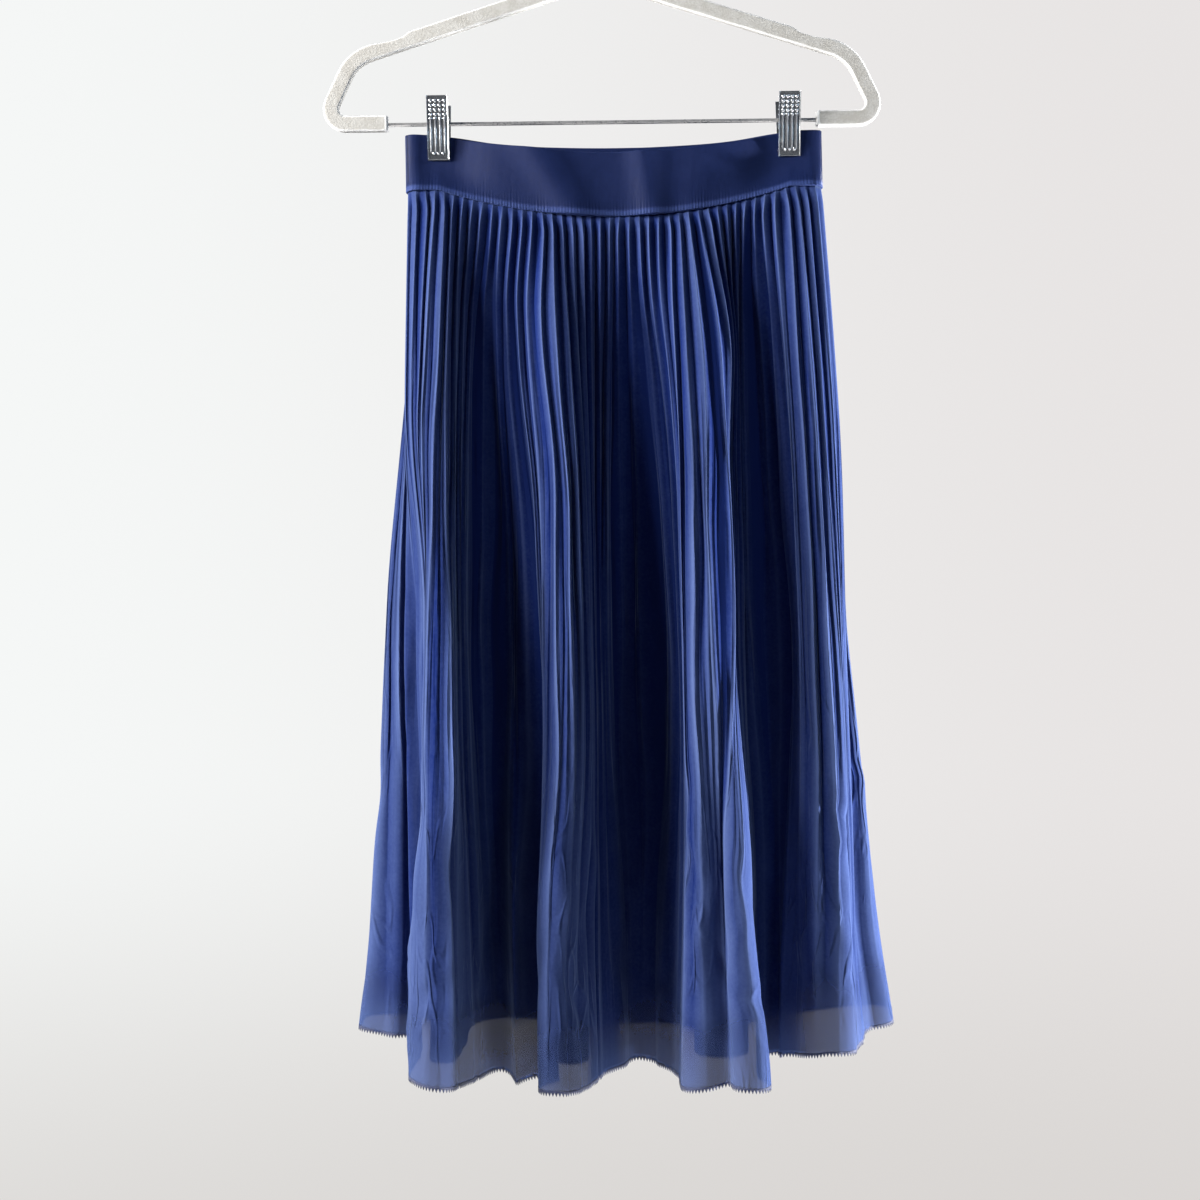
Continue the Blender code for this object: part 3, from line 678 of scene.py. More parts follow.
@dataclass
class Chiffon:
    """The whole cloth: the plain tube, its ripples, its pleats and its creases."""

    form: SkirtForm = field(default_factory=lambda: SkirtForm(SIZES))
    pleats: PressedPleats = field(default_factory=PressedPleats)
    settle: float = 0.15           # way down over which a ripple nears its pleat
    ridge_height: float = 0.0034   # of a pleat that counts as a whole one
    front_reach: float = 0.111     # depth of the outermost folds at the hem
    back_reach: float = 0.056
    flank_lack: float = 0.45       # share of that depth which the flanks lack
    flank: tuple[float, float] = (0.10, 0.17)        # way across over which the flanks begin
    edge: tuple[float, float] = (0.84, 0.99)         # share of the half width where they end
    spread: float = 0.040          # of the half width from waist to hem

    def ripples(self, pleat: Grid, down: Grid) -> tuple[Grid, Grid]:
        """Sum of the ripples: a bell across the pleats times an ease in and out down the panel.

        A ripple hangs at its pleat, plus what it is aside at the waist times exp(-down / settle).

        Args:
            pleat: pleat numbers.
            down: way down.

        Returns:
            Metres outwards, and metres across.
        """
        half = SIZES.pleats_round / 2
        out = np.zeros(np.broadcast(pleat, down).shape)
        across = np.zeros_like(out)
        for r in RIPPLES:
            middle = r.pleat + r.aside * np.exp(-np.maximum(down, 0.0) / self.settle)
            apart = np.mod(pleat - middle + half, SIZES.pleats_round) - half
            share = bell(apart, 0.0, r.width) * smoothstep(r.start, r.full, down)
            share = share * (1 - smoothstep(r.ease, r.end, down))
            out += r.out * share
            across += r.across * share
        return out, across

    @staticmethod
    def troughs(pleat: Grid, down: Grid, pitch: Grid) -> Grid:
        """Sum of the creases: a bell across each one's line times a rounded window along it.

        Args:
            pleat: pleat numbers.
            down: way down.
            pitch: spacing of the pleats in metres.

        Returns:
            Metres outwards.
        """
        total = np.zeros(np.broadcast(pleat, down).shape)
        for t in TROUGHS:
            side = (pleat - t.pleat) * pitch
            fall = (down - t.down) * SIZES.panel_length
            lean = math.radians(t.slant)
            across = side * math.cos(lean) - fall * math.sin(lean)
            along = side * math.sin(lean) + fall * math.cos(lean)
            total -= t.depth * bell(across, 0.0, t.width) * bell(along, 0.0, t.length / 2) ** 2
        return total

    @staticmethod
    def crest(pleat: Grid) -> Grid:
        """1 on a pleat's ridge, 0 in the valleys beside it, and even between."""
        return 1.0 - np.abs(2.0 * np.mod(pleat, 1.0) - 1.0)

    @staticmethod
    def beside_seams(pleat: Grid) -> Grid:
        """0 at the ends of the oval, 1 from two and a half pleats on."""
        half = SIZES.pleats_round / 2
        return smoothstep(0.8, 2.5, np.abs(np.mod(pleat + half / 2, half) - half / 2))

    def outermost(self, points: Grid, place: Grid, down: Grid) -> Grid:
        """How near points stand to the outermost folds: their depth as a share of the folds' own,
        which grows down the panel and is less at the flanks, and 1 at the flanks' edges.

        Args:
            points: finished points.
            place: pleat numbers after the pleats' shift.
            down: way down.

        Returns:
            0 in the deepest recess, 1 on the outermost folds.
        """
        reach = np.where(points[..., 1] < 0, self.front_reach, self.back_reach)
        reach = reach * np.clip(down, 0.0, 1.0) ** SIZES.fold_growth
        side = np.abs(points[..., 0] - SIZES.middle_x)
        reach = reach * (1.0 - self.flank_lack * smoothstep(*self.flank, side))
        on_front = np.mod(place, SIZES.pleats_round) < SIZES.pleats_each
        depth = points[..., 1] * np.where(on_front, -1.0, 1.0) / (SIZES.waist_open + reach)
        rim = smoothstep(*self.edge, side / (SIZES.waist_half + self.spread * down))
        return np.clip(np.maximum(depth, rim), 0.0, 1.0)

    def points(self, pleat: Grid, down: Grid) -> tuple[Grid, dict[str, Grid]]:
        """The finished cloth: the plain tube, moved outwards by pleats, ripples and creases, and
        drawn in a little where it goes up inside the band.

        Args:
            pleat: pleat numbers.
            down: way down.

        Returns:
            Points, and four marks for each: the pleats' height, below 0 in a valley and above 0
            on a ridge; how near the point stands to the outermost folds; how near to its pleat's
            ridge; and how far the hem lies two deep there.
        """
        shift, height = self.pleats.displacement(pleat, down)
        place = pleat + shift
        normal, pitch = self.form.outward(place, down)
        ripple, across = self.ripples(place, down)
        inside = SIZES.seam_set * (1 - smoothstep(-SIZES.seam_rise, SIZES.seam_ease, down))
        inside = inside * self.beside_seams(pleat)
        out = height + ripple + self.troughs(place, down, pitch) - inside
        points = self.form.points(place, down) + normal * out[..., None]
        points[..., 0] += across
        return points, {
            "ridge": height / self.ridge_height,
            "fold": self.outermost(points, place, down),
            "crest": self.crest(pleat),
            "doubled": sum(bell(place, middle, width) for middle, width in DOUBLED),
        }


class Side(Enum):
    """The two panels, by the pleat that each begins with."""

    FRONT = 0
    BACK = 44


@dataclass
class Panel:
    """One pleated panel and the picot edge along its hem."""

    side: Side
    half_stations: tuple[float, ...] = (0.0, 0.07, 0.5, 0.93)   # columns between two creases
    rows: int = 129
    crowding: float = 0.35         # of the rows at the seam and the hem: 0 is even, 1 the most
    finer: tuple[float, float] = (85.5, 88.0)   # pleats with twice the columns
    pitch_waist: float = 0.0076    # spacing of the pleats
    pitch_gain: float = 0.0060     # how much wider it is at the hem
    cloth_thickness: float = 0.0004
    flat_hem: float = 1.19         # width of the cut at the hem
    flat_length: float = 0.672
    flat_area: float = 0.62
    pleat_cut: float = 0.027       # cloth in one pleat
    stitch_pitch: float = 0.0026
    stitch_shape: tuple[float, ...] = (0.0, 0.5, 1.0, 0.5)
    edge_height: float = 0.0009
    edge_thickness: float = 0.0005
    edge_lap: float = 0.0002       # middle row of the edge above the hem
    edge_end: float = 0.02         # pleats that it stops short of the seams
    edge_samples: int = 12000      # places at which the hem's length is measured
    tooth: float = 0.0030

    @property
    def name(self) -> str:
        """The solid that the panel stands for."""
        return f"skirt_{self.side.name.lower()}"

    def cloth(self, chiffon: Chiffon, material: Material) -> Item:
        """A grid over pleat number and way down, closer together at the seam and at the hem.

        Args:
            chiffon: the cloth's form.
            material: its finish.

        Returns:
            The panel.
        """
        halves = np.arange(2 * SIZES.pleats_each)[:, None] / 2
        stations = (halves + np.array(self.half_stations) / 2).ravel()
        across = self.side.value + np.append(stations, SIZES.pleats_each)
        between = (across[1:] + across[:-1]) / 2
        across = np.sort(np.append(across, between[(between > self.finer[0]) & (between < self.finer[1])]))
        t = np.linspace(0, 1, self.rows)
        way = t - self.crowding * np.sin(TURN * t) / TURN
        pleat, down = np.meshgrid(across, way)
        edge = SIZES.seam_gap / 2 / (self.pitch_waist + self.pitch_gain * way)
        pleat[:, 0] += edge
        pleat[:, -1] -= edge
        rise = SIZES.seam_rise * chiffon.beside_seams(pleat)
        down = down * (1 + rise) - rise
        points, marks = chiffon.points(pleat, down)
        uv = np.stack([pleat * self.pleat_cut, down * SIZES.panel_length], axis=-1)
        sheet = Surface(
            f"{self.name}_cloth", points, grid_faces(self.rows, len(across)), uv, {"down": down, **marks},
        ).build(material, Slot.CHIFFON)
        thicken(sheet, self.cloth_thickness)
        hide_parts(self.name)
        return sheet

    def edging(self, chiffon: Chiffon, material: Material) -> Item:
        """A ribbon of four points a stitch, even along the hem, with a pointed foot on each stitch.

        Args:
            chiffon: the cloth's form.
            material: its finish.

        Returns:
            The picot edge.
        """
        ends = self.edge_end, SIZES.pleats_each - self.edge_end
        fine = self.side.value + np.linspace(*ends, self.edge_samples)
        run = length_run(chiffon.points(fine, np.ones_like(fine))[0])
        count = int(run[-1] / self.stitch_pitch) * len(self.stitch_shape) + 1
        along = np.linspace(0, run[-1], count)
        pleat = np.interp(along, run, fine)
        foot = self.tooth * np.resize(self.stitch_shape, count)
        drops = np.stack([np.full(count, -self.edge_height), np.full(count, -self.edge_lap), foot])
        points, _ = chiffon.points(np.broadcast_to(pleat, drops.shape), 1 + drops / SIZES.panel_length)
        ribbon = Surface(
            f"{self.name}_picot", points, grid_faces(3, count),
            np.stack([np.broadcast_to(along, drops.shape), drops], axis=-1),
        ).build(material, Slot.CHIFFON)
        thicken(ribbon, self.edge_thickness)
        return ribbon

    def declare(self, sheet: Item, edging: Item, band: Item) -> None:
        """Reads the band's name, and does nothing else.

        Args:
            sheet: not used.
            edging: not used.
            band: the waistband that it hangs from.
        """
        band.name


# ---------------------------------------------------------------- the waistband
class Wave(NamedTuple):
    """A soft swell in the band, which catches the light."""

    x: float         # from the skirt's middle plane
    slant: float     # how far right its foot stands of its top, in metres
    width: float
    out: float


@dataclass
class Waistband:
    """The elastic loop: pinched in the jaws, open between them, and sagging in the middle."""

    columns: int = 880
    outer_rows: int = 26
    inner_rows: int = 10
    pleat_pitch: float = 0.00773     # cloth between two pleats along the oval
    pinch_width: float = 0.0208
    pinch_ease: float = 0.026
    pinch_depth: float = 0.45
    edge_radius: float = 0.0006
    stitch_rise: float = 0.0019      # stitch line above the lower edge
    stitch_width: float = 0.0005
    stitch_depth: float = 0.00014
    pucker_pitch: float = 0.0024
    pucker_depth: float = 0.00038
    pucker_reach: tuple[float, float] = (0.003, 0.007)    # least and most, above the lower edge
    seam_pleats: tuple[float, ...] = (0.75, 43.6)
    seam_width: float = 0.11         # half of it, in pleats
    seam_depth: float = 0.0008
    back_waves: float = 0.6          # share of the waves that the back has
    waves: tuple[Wave, ...] = (
        Wave(-0.158, 0.002, 0.009, 0.0018),
        Wave(-0.046, 0.030, 0.020, 0.0050),
        Wave(0.027, 0.006, 0.013, 0.0044),
        Wave(0.064, -0.006, 0.015, 0.0014),
        Wave(0.154, 0.004, 0.011, 0.0014),
    )

    def half_gap(self, x: Grid, down: Grid) -> Grid:
        """Distance of a wall from the middle plane: closed in the jaws by
        1 - exp(-(distance / ease)^2), and opening below them as the square of the way down.

        Args:
            x: place across.
            down: 0 at the top edge, 1 at the lower one.

        Returns:
            Metres.
        """
        from_jaw = np.abs(np.abs(x - SIZES.middle_x) - SIZES.clip_spread) - self.pinch_width / 2
        beside = 1 - np.exp(-((np.maximum(from_jaw, 0.0) / self.pinch_ease) ** 2))
        below = np.clip((down - self.pinch_depth) / (1 - self.pinch_depth), 0, 1) ** 2
        opened = beside + (1 - beside) * below
        return SIZES.waist_pinched + (SIZES.waist_open - SIZES.waist_pinched) * opened

    def groove(self, pleat: Grid, rise: Grid) -> Grid:
        """1 along the side seams: bells round the oval, eased out above the lower edge."""
        places = [place for seam in self.seam_pleats for place in (seam, SIZES.pleats_round - seam)]
        return sum(bell(pleat, place, self.seam_width) for place in places) * smoothstep(0.004, 0.009, rise)

    def relief(self, pleat: Grid, x: Grid, rise: Grid, on_front: Grid) -> Grid:
        """Outward relief: waves as bells, a side seam, the stitch line and its puckers.

        The puckers are a sine along the band whose phase wanders by two slow sines. They die out
        above the edge by exp(-rise / reach), and their reach is a product of two slow sines.

        Args:
            pleat: pleat numbers.
            x: place across.
            rise: height above the lower edge in metres.
            on_front: true on the front.

        Returns:
            Metres outwards.
        """
        out = np.zeros_like(x)
        for w in self.waves:
            lean = w.slant * (0.5 - rise / SIZES.band_height)
            out += w.out * bell(x - SIZES.middle_x, w.x + lean, w.width)
        out *= np.where(on_front, 1.0, self.back_waves)
        out -= self.seam_depth * self.groove(pleat, rise)
        out -= self.stitch_depth * bell(rise, self.stitch_rise, self.stitch_width)
        wander = 0.35 * np.sin(7.0 * pleat) + 0.5 * np.sin(2.3 * pleat + 1.0)
        pucker = np.sin(TURN * pleat * self.pleat_pitch / self.pucker_pitch + wander)
        share = 0.5 + 0.5 * np.sin(1.7 * pleat) * np.sin(0.61 * pleat + 2.0)
        least, most = self.pucker_reach
        return out + self.pucker_depth * pucker * np.exp(-rise / (least + (most - least) * share))

    def build(self, form: SkirtForm, material: Material) -> Item:
        """A closed section of rounded edges, carried round the oval.

        Args:
            form: the cloth's form.
            material: its finish.

        Returns:
            The band.
        """
        half, corner, height = SIZES.band_wall / 2, self.edge_radius, SIZES.band_height
        turn = np.linspace(0, math.pi / 2, 4)[1:-1]
        face = np.linspace(corner / height, 1 - corner / height, self.outer_rows)
        back = np.linspace(1 - corner / height, corner / height, self.inner_rows)
        near, far = corner * (1 - np.sin(turn)) / height, half - corner * (1 - np.cos(turn))
        low = np.concatenate([1 - near, 1 - near[::-1]])
        low_out = np.concatenate([far, -far[::-1]])
        down = np.concatenate([face, low, back, 1 - low])
        out = np.concatenate([
            np.full(self.outer_rows, half), low_out, np.full(self.inner_rows, -half), -low_out,
        ])
        pleat = np.arange(self.columns) * SIZES.pleats_round / self.columns
        pleat, down = np.meshgrid(pleat, down, indexing="ij")
        x, y = form.waist(pleat)
        ahead, behind = form.waist(pleat + 0.05), form.waist(pleat - 0.05)
        side = unit(np.stack([ahead[1] - behind[1], behind[0] - ahead[0], np.zeros_like(x)], axis=-1))
        top = form.edge_z(x, y, SIZES.band_top, SIZES.front_top_sag)
        seam = form.edge_z(x, y, SIZES.band_seam, SIZES.front_seam_sag)
        z = top + (seam - top) * down
        rise = z - seam
        relief = self.relief(pleat, x, rise, y < 0) * smoothstep(-half, half, out)
        middle = np.stack([x, y * self.half_gap(x, down) / SIZES.waist_open, z], axis=-1)
        points = middle + side * (out + relief)[..., None]
        uv = np.stack([pleat * self.pleat_pitch, rise], axis=-1)
        band = Surface(
            "waistband_loop", points,
            grid_faces(self.columns, len(out), wrap_rows=True, wrap_columns=True)[:, ::-1],
            uv, {"rise": rise, "groove": self.groove(pleat, rise)},
        ).build(material, Slot.ELASTIC)
        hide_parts("waistband")
        return band


# ---------------------------------------------------------------- the hanger
@dataclass
class Hanger:
    """The flocked frame, its wire hook and the steel bar that the clips ride on."""

    bar_z: float = -0.215
    bar_radius: float = 0.0015
    arm_peak_z: float = -0.0985
    arm_slope: float = 0.32
    arm_height: float = 0.0126
    arm_thickness: float = 0.0056
    arm_corner: float = 0.0017
    neck_rounding: float = 0.030
    shoulder_x: float = 0.1990
    shoulder_rounding: float = 0.034
    elbow_x: float = 0.2235
    elbow_rounding: float = 0.0120
    stub_end: float = 0.171
    stub_z: float = -0.2142
    bar_seat: float = 0.0120
    notch_depth: float = 0.0026
    notch_stations: tuple[float, ...] = (0.1505, 0.1590, 0.1665, 0.1850)
    ring_spacing: float = 0.0018   # between the frame's rings
    end_ease: float = 0.10         # share by which its last rings are smaller
    pale_edge_width: float = 0.0016     # of the paler corners
    pale_edge_ends: float = 0.003       # length of the paler ends
    neck_top_z: float = -0.0745
    neck_profile: tuple[tuple[float, float], ...] = (
        (-0.1025, 0.0062), (-0.0950, 0.0062), (-0.0880, 0.0058), (-0.0800, 0.0051),
        (-0.0762, 0.0049), (-0.0749, 0.0045), (-0.0745, 0.0032),
    )                              # height and radius
    wire_radius: float = 0.00175
    hook_radius: float = 0.0218
    hook_neck_radius: float = 0.0120
    hook_end: float = math.radians(208)
    shank_depth: float = 0.0135

    def middle_line(self) -> Grid:
        """The frame's path in x and z: straight runs whose corners are rounded by arcs.

        Returns:
            Array (n, 2).
        """
        right = (
            (0.0, self.arm_peak_z, self.neck_rounding),
            (self.shoulder_x, self.arm_peak_z - self.arm_slope * self.shoulder_x, self.shoulder_rounding),
            (self.elbow_x, self.stub_z, self.elbow_rounding),
            (self.stub_end, self.stub_z, 0.0),
        )
        corners = [(-x, z, r) for x, z, r in reversed(right[1:])] + list(right)
        places = np.array(corners)[:, :2]
        arcs = [
            self._corner_arc(places[k - 1], places[k], places[k + 1], corners[k][2])
            for k in range(1, len(corners) - 1)
        ]
        return np.concatenate([places[:1], *arcs, places[-1:]])

    @staticmethod
    def _corner_arc(before: Grid, at: Grid, after: Grid, radius: float, count: int = 40) -> Grid:
        """Points of the arc that rounds one corner, tangent to both of its runs.

        Args:
            before: corner before.
            at: the corner itself.
            after: corner after.
            radius: of the arc.
            count: number of points.

        Returns:
            Array (count, 2).
        """
        into, out = unit(at - before), unit(after - at)
        turn = math.acos(float(np.clip(into @ out, -1, 1)))
        side = math.copysign(1.0, into[0] * out[1] - into[1] * out[0])
        start = at - into * radius * math.tan(turn / 2)
        hub = start + side * radius * np.array([-into[1], into[0]])
        a = side * np.linspace(0, turn, count)
        arm = start - hub
        return hub + np.stack(
            [arm[0] * np.cos(a) - arm[1] * np.sin(a), arm[0] * np.sin(a) + arm[1] * np.cos(a)], axis=1
        )

    def frame_surface(self) -> Surface:
        """A rounded oblong carried along the path, its outer edge lowered in the strap notches.

        Returns:
            The closed surface, with a mark that is 1 along its corners and near its ends.
        """
        spacing, pale_edge_width = self.ring_spacing, self.pale_edge_width
        line = even_path(self.middle_line(), spacing)
        tangent = unit(np.gradient(line, axis=0))
        outside = np.stack([-tangent[:, 1], np.zeros(len(line)), tangent[:, 0]], axis=1)
        across = np.broadcast_to([0.0, 1.0, 0.0], outside.shape)
        half_y, half_h, r = self.arm_thickness / 2, self.arm_height / 2, self.arm_corner
        angle = np.linspace(0, math.pi / 2, 6)
        corner = np.stack([np.cos(angle), np.sin(angle)], axis=1) * r + [half_y - r, half_h - r]
        corners = [corner, corner[::-1] * [-1, 1], -corner, corner[::-1] * [1, -1]]
        runs = [np.linspace(a[-1], b[0], 6)[1:-1] for a, b in zip(corners, corners[1:] + corners[:1])]
        outline = np.concatenate([part for pair in zip(corners, runs) for part in pair])
        first, low, bump, last = self.notch_stations
        reach = np.abs(line[:, 0])
        notch = self.notch_depth * smoothstep(first, low, reach) * (1 - smoothstep(bump, last, reach))
        notch = np.where(line[:, 1] > self.bar_z + 2 * self.arm_height, notch, 0.0)
        section = np.repeat(outline[None], len(line), axis=0)
        top_share = np.clip(section[..., 1] / half_h, 0, 1)
        section[..., 1] -= notch[:, None] * top_share
        run = np.minimum(np.arange(len(line)), np.arange(len(line))[::-1]) * spacing
        ease = 1 - self.end_ease * np.clip(1 - run / spacing, 0, 1)
        points = sweep(np.insert(line, 1, 0.0, axis=1), across, outside, section * ease[:, None, None])
        from_face, from_edge = (np.abs(outline) - [half_y, half_h]).T
        worn = bell(from_face, 0, pale_edge_width) * bell(from_edge, 0, pale_edge_width)
        worn = np.broadcast_to(worn, section.shape[:2]).copy()
        worn[run < self.pale_edge_ends] = 1.0
        faces = capped_faces(len(line), len(outline))
        return Surface("frame", points, faces, marks={"worn": worn.ravel()})

    def neck_surface(self, sides: int = 32) -> Surface:
        """The boss that holds the hook: a round post of falling radius with a rolled lip.

        Args:
            sides: points round it.

        Returns:
            The closed surface.
        """
        z, r = np.array(self.neck_profile).T[..., None, None]
        ring = circle(sides) * [1, -1]
        points = np.concatenate([ring[None] * r, np.broadcast_to(z, (len(z), sides, 1))], axis=2)
        return Surface("neck", points, capped_faces(len(z), sides))

    def build_frame(self, material: Material) -> None:
        """The frame and its neck as one piece.

        Args:
            material: its finish.
        """
        body = joined("hanger_frame_flock", "worn", [self.frame_surface(), self.neck_surface()])
        piece = body.build(material, Slot.FLOCK)
        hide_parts("hanger_frame")

    def build_hook(self, material: Material) -> None:
        """Shank, a short bend to the right, then a wide arc over the top to the left.

        Args:
            material: its finish.
        """
        centre_z = -self.hook_radius + self.wire_radius
        reach = self.hook_radius + self.hook_neck_radius
        bend_z = centre_z - math.sqrt(reach**2 - self.hook_neck_radius**2)
        swing = math.acos(self.hook_neck_radius / reach)
        bend = np.linspace(math.pi, math.pi - swing, 24)
        over = np.linspace(-swing, self.hook_end, 110)[1:]
        x = np.concatenate([
            [0.0], self.hook_neck_radius * (1 + np.cos(bend)), self.hook_radius * np.cos(over),
        ])
        z = np.concatenate([
            [self.neck_top_z - self.shank_depth], bend_z + self.hook_neck_radius * np.sin(bend),
            centre_z + self.hook_radius * np.sin(over),
        ])
        path = even_path(np.stack([x, np.zeros_like(x), z], axis=1), 0.001)
        piece = tube("hanger_hook_wire", path, self.wire_radius, 20, 0.0012).build(material, Slot.STEEL)
        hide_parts("hanger_hook")

    def build_bar(self, material: Material) -> None:
        """The straight bar, with both ends inside the stubs.

        Args:
            material: its finish.
        """
        reach = self.stub_end + self.bar_seat - SIZES.seam_gap
        x = np.linspace(-reach, reach, 240)
        path = np.stack([x, np.zeros_like(x), np.full_like(x, self.bar_z)], axis=1)
        piece = tube("clip_bar_rod", path, self.bar_radius, 20, 0.0008).build(material, Slot.STEEL)
        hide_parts("clip_bar")


# ---------------------------------------------------------------- the clips
@dataclass
class Clip:
    """One sprung clip: two pressed jaws and the coil between them."""

    label: str
    x: float
    bar_z: float = -0.215
    width: float = 0.0173
    sheet: float = 0.0012
    top: float = 0.0190
    bottom: float = -0.0296
    flare: tuple[tuple[float, float], ...] = (
        (0.0, -0.0296), (0.0022, -0.0196), (0.0040, -0.0040), (0.0095, 0.0190),
    )
    stud_rows: tuple[float, ...] = (0.0150, 0.0116, 0.0082, 0.0048)
    stud_columns: int = 4
    stud_radius: float = 0.00125
    stud_height: float = 0.0009
    rib_top: float = 0.0020
    rib_bottom: float = -0.0245
    rib_height: float = 0.0006
    rib_span: float = 0.36           # half its width, as a share of the studs' pitch
    rib_ease: float = 0.0004
    foot_radius: float = 0.0010
    rim_height: float = 0.0007
    rim_width: float = 0.0008
    lip_share: float = 0.7           # of the rim's height, along the lower edge
    lifted: float = 0.75             # share of the relief that the plate's face takes
    corner: float = 0.0004           # rounding along the plate's edges
    corner_drop: float = 0.00025
    ear_radius: float = 0.0042
    ear_sheet: float = 0.0010
    ear_chamfer: float = 0.00018
    ear_root: float = 0.00825        # of an ear, from the middle plane
    spring_wire: float = 0.0006
    spring_radius: float = 0.0029
    spring_turns: int = 4

    def dome(self, across: Grid, up: Grid, radius: float) -> Grid:
        """A stud's height times sqrt(1 - (distance / radius)^2)."""
        return self.stud_height * np.sqrt(np.clip(1 - (across**2 + up**2) / radius**2, 0, 1))

    def relief(self, u: Grid, z: Grid) -> Grid:
        """Pressed relief: a rim along both sides, rows of domed studs, and ribs with domed feet.

        Args:
            u: across the jaw, from its middle.
            z: height from the bar.

        Returns:
            Metres outwards.
        """
        half = self.width / 2
        rim = self.rim_height * smoothstep(self.rim_width * 1.3, self.rim_width * 0.5, half - np.abs(u))
        pitch = (self.width - 2 * self.rim_width) / (self.stud_columns + 0.25)
        spots = (np.arange(self.stud_columns) - (self.stud_columns - 1) / 2) * pitch
        near = np.min(np.abs(u[..., None] - spots), axis=-1)
        out = np.zeros_like(u)
        for row in self.stud_rows + (self.rib_top - self.rib_ease / 2,):
            out = np.maximum(out, self.dome(near, z - row, self.stud_radius))
        feet = spots[:-1] + pitch / 2
        near_foot = np.min(np.abs(u[..., None] - feet), axis=-1)
        out = np.maximum(out, self.dome(near_foot, z - self.rib_bottom, self.foot_radius))
        rib = self.rib_height * (1 + np.cos(math.pi * np.clip(near / (pitch * self.rib_span), 0, 1))) / 2
        rib = rib * smoothstep(self.rib_bottom, self.rib_bottom + self.foot_radius, z)
        rib = rib * smoothstep(self.rib_top + self.rib_ease, self.rib_top - self.rib_ease, z)
        edge = self.bottom + self.rim_width
        lip = self.rim_height * self.lip_share * smoothstep(edge + self.corner, edge - self.corner, z)
        return np.maximum.reduce([out, rib, rim, lip])

    def plate(self, side: int) -> Surface:
        """A jaw's plate: the flared profile, smoothed by a running mean, carried across its width,
        with relief on its outer face.

        Args:
            side: -1 for the front jaw, 1 for the back one.

        Returns:
            A closed surface.
        """
        tip = SIZES.waist_pinched + SIZES.band_wall / 2 + SIZES.seam_gap + self.sheet / 2
        across, along, window = 50, 132, 11
        u = np.linspace(-self.width / 2, self.width / 2, across)
        z = np.linspace(self.bottom, self.top, along)
        flare, heights = np.array(self.flare).T
        padded = np.pad(np.interp(z, heights, flare), window // 2, mode="reflect", reflect_type="odd")
        line_y = np.convolve(padded, np.ones(window) / window, "valid") + tip
        slope = np.gradient(line_y, z)
        level = np.stack([np.ones_like(slope), -slope], axis=1) / np.hypot(1, slope)[:, None]
        uu, zz = np.meshgrid(u, z)
        lift = self.relief(uu, zz)
        edge = np.minimum(self.width / 2 - np.abs(uu), np.minimum(zz - self.bottom, self.top - zz))
        rounding = self.corner_drop * (1 - np.clip(edge / self.corner, 0, 1)) ** 2
        outer = self.sheet / 2 + lift * self.lifted - rounding
        grids = []
        for offset in (outer, np.full_like(lift, -self.sheet / 2)):
            y = side * (line_y[:, None] + level[:, :1] * offset)
            zed = self.bar_z + zz + level[:, 1:] * offset
            grids.append(np.stack([self.x + uu, y, zed], axis=-1).reshape(-1, 3))
        return Surface(
            "plate", np.concatenate(grids), self._shell_faces(along, across, side),
            marks={"relief": np.concatenate([lift.ravel() / self.stud_height, np.zeros(lift.size)])},
        )

    @staticmethod
    def _shell_faces(rows: int, columns: int, side: int) -> Faces:
        """Two grids of faces back to back, and the rim that joins them.

        Args:
            rows: number of rows of points.
            columns: points in each row.
            side: -1 for the front jaw, 1 for the back one.

        Returns:
            The faces as tuples of point numbers.
        """
        shift = rows * columns
        front = grid_faces(rows, columns)
        number = np.arange(shift).reshape(rows, columns)
        border = np.concatenate([number[0, :-1], number[:-1, -1], number[-1, :0:-1], number[:0:-1, 0]])
        following = np.roll(border, -1)
        rim = np.stack([border, following, following + shift, border + shift], axis=1)
        faces = np.concatenate([front[:, ::-1], front + shift, rim])[:, ::-side]
        return [tuple(f) for f in faces.tolist()]

    def ear(self, x: float, plate_y: float) -> Surface:
        """A lug about the bar: half a circle and a square foot, its rims eased by a small chamfer.

        Args:
            x: its middle.
            plate_y: where its foot stands, on the side of its plate.

        Returns:
            The closed surface.
        """
        turn = math.copysign(1.0, plate_y)
        a = np.linspace(-math.pi / 2, math.pi / 2, 25)
        y = np.concatenate([[plate_y], -turn * self.ear_radius * np.cos(a), [plate_y]])
        z = np.concatenate([[-self.ear_radius], self.ear_radius * np.sin(a), [self.ear_radius]])
        outline = np.stack([y, z], axis=1)
        half, chamfer = self.ear_sheet / 2, self.ear_chamfer
        rings = []
        for offset, share in ((-half, 1), (-half + chamfer, 0), (half - chamfer, 0), (half, 1)):
            inset = outline * (1 - share * chamfer / self.ear_radius)
            rings.append(np.insert(inset + [0, self.bar_z], 0, x + offset, axis=1))
        faces = capped_faces(4, len(outline))
        return Surface("ear", np.concatenate(rings), faces if turn > 0 else [f[::-1] for f in faces])

    def build_jaw(self, side: int, material: Material) -> None:
        """A plate and its two ears as one piece.

        Args:
            side: -1 for the front jaw, 1 for the back one.
            material: its finish.
        """
        word = "front" if side < 0 else "back"
        inset = 0.0 if side < 0 else self.ear_sheet + SIZES.seam_gap
        reach = self.width / 2 - inset - self.ear_sheet / 2
        ears = [self.ear(self.x + end * reach, side * self.ear_root) for end in (-1, 1)]
        jaw = joined(f"clip_{self.label}_{word}_plate", "relief", [self.plate(side), *ears])
        piece = jaw.build(material, Slot.CHROME)
        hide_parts(f"clip_{self.label}_{word}_jaw")

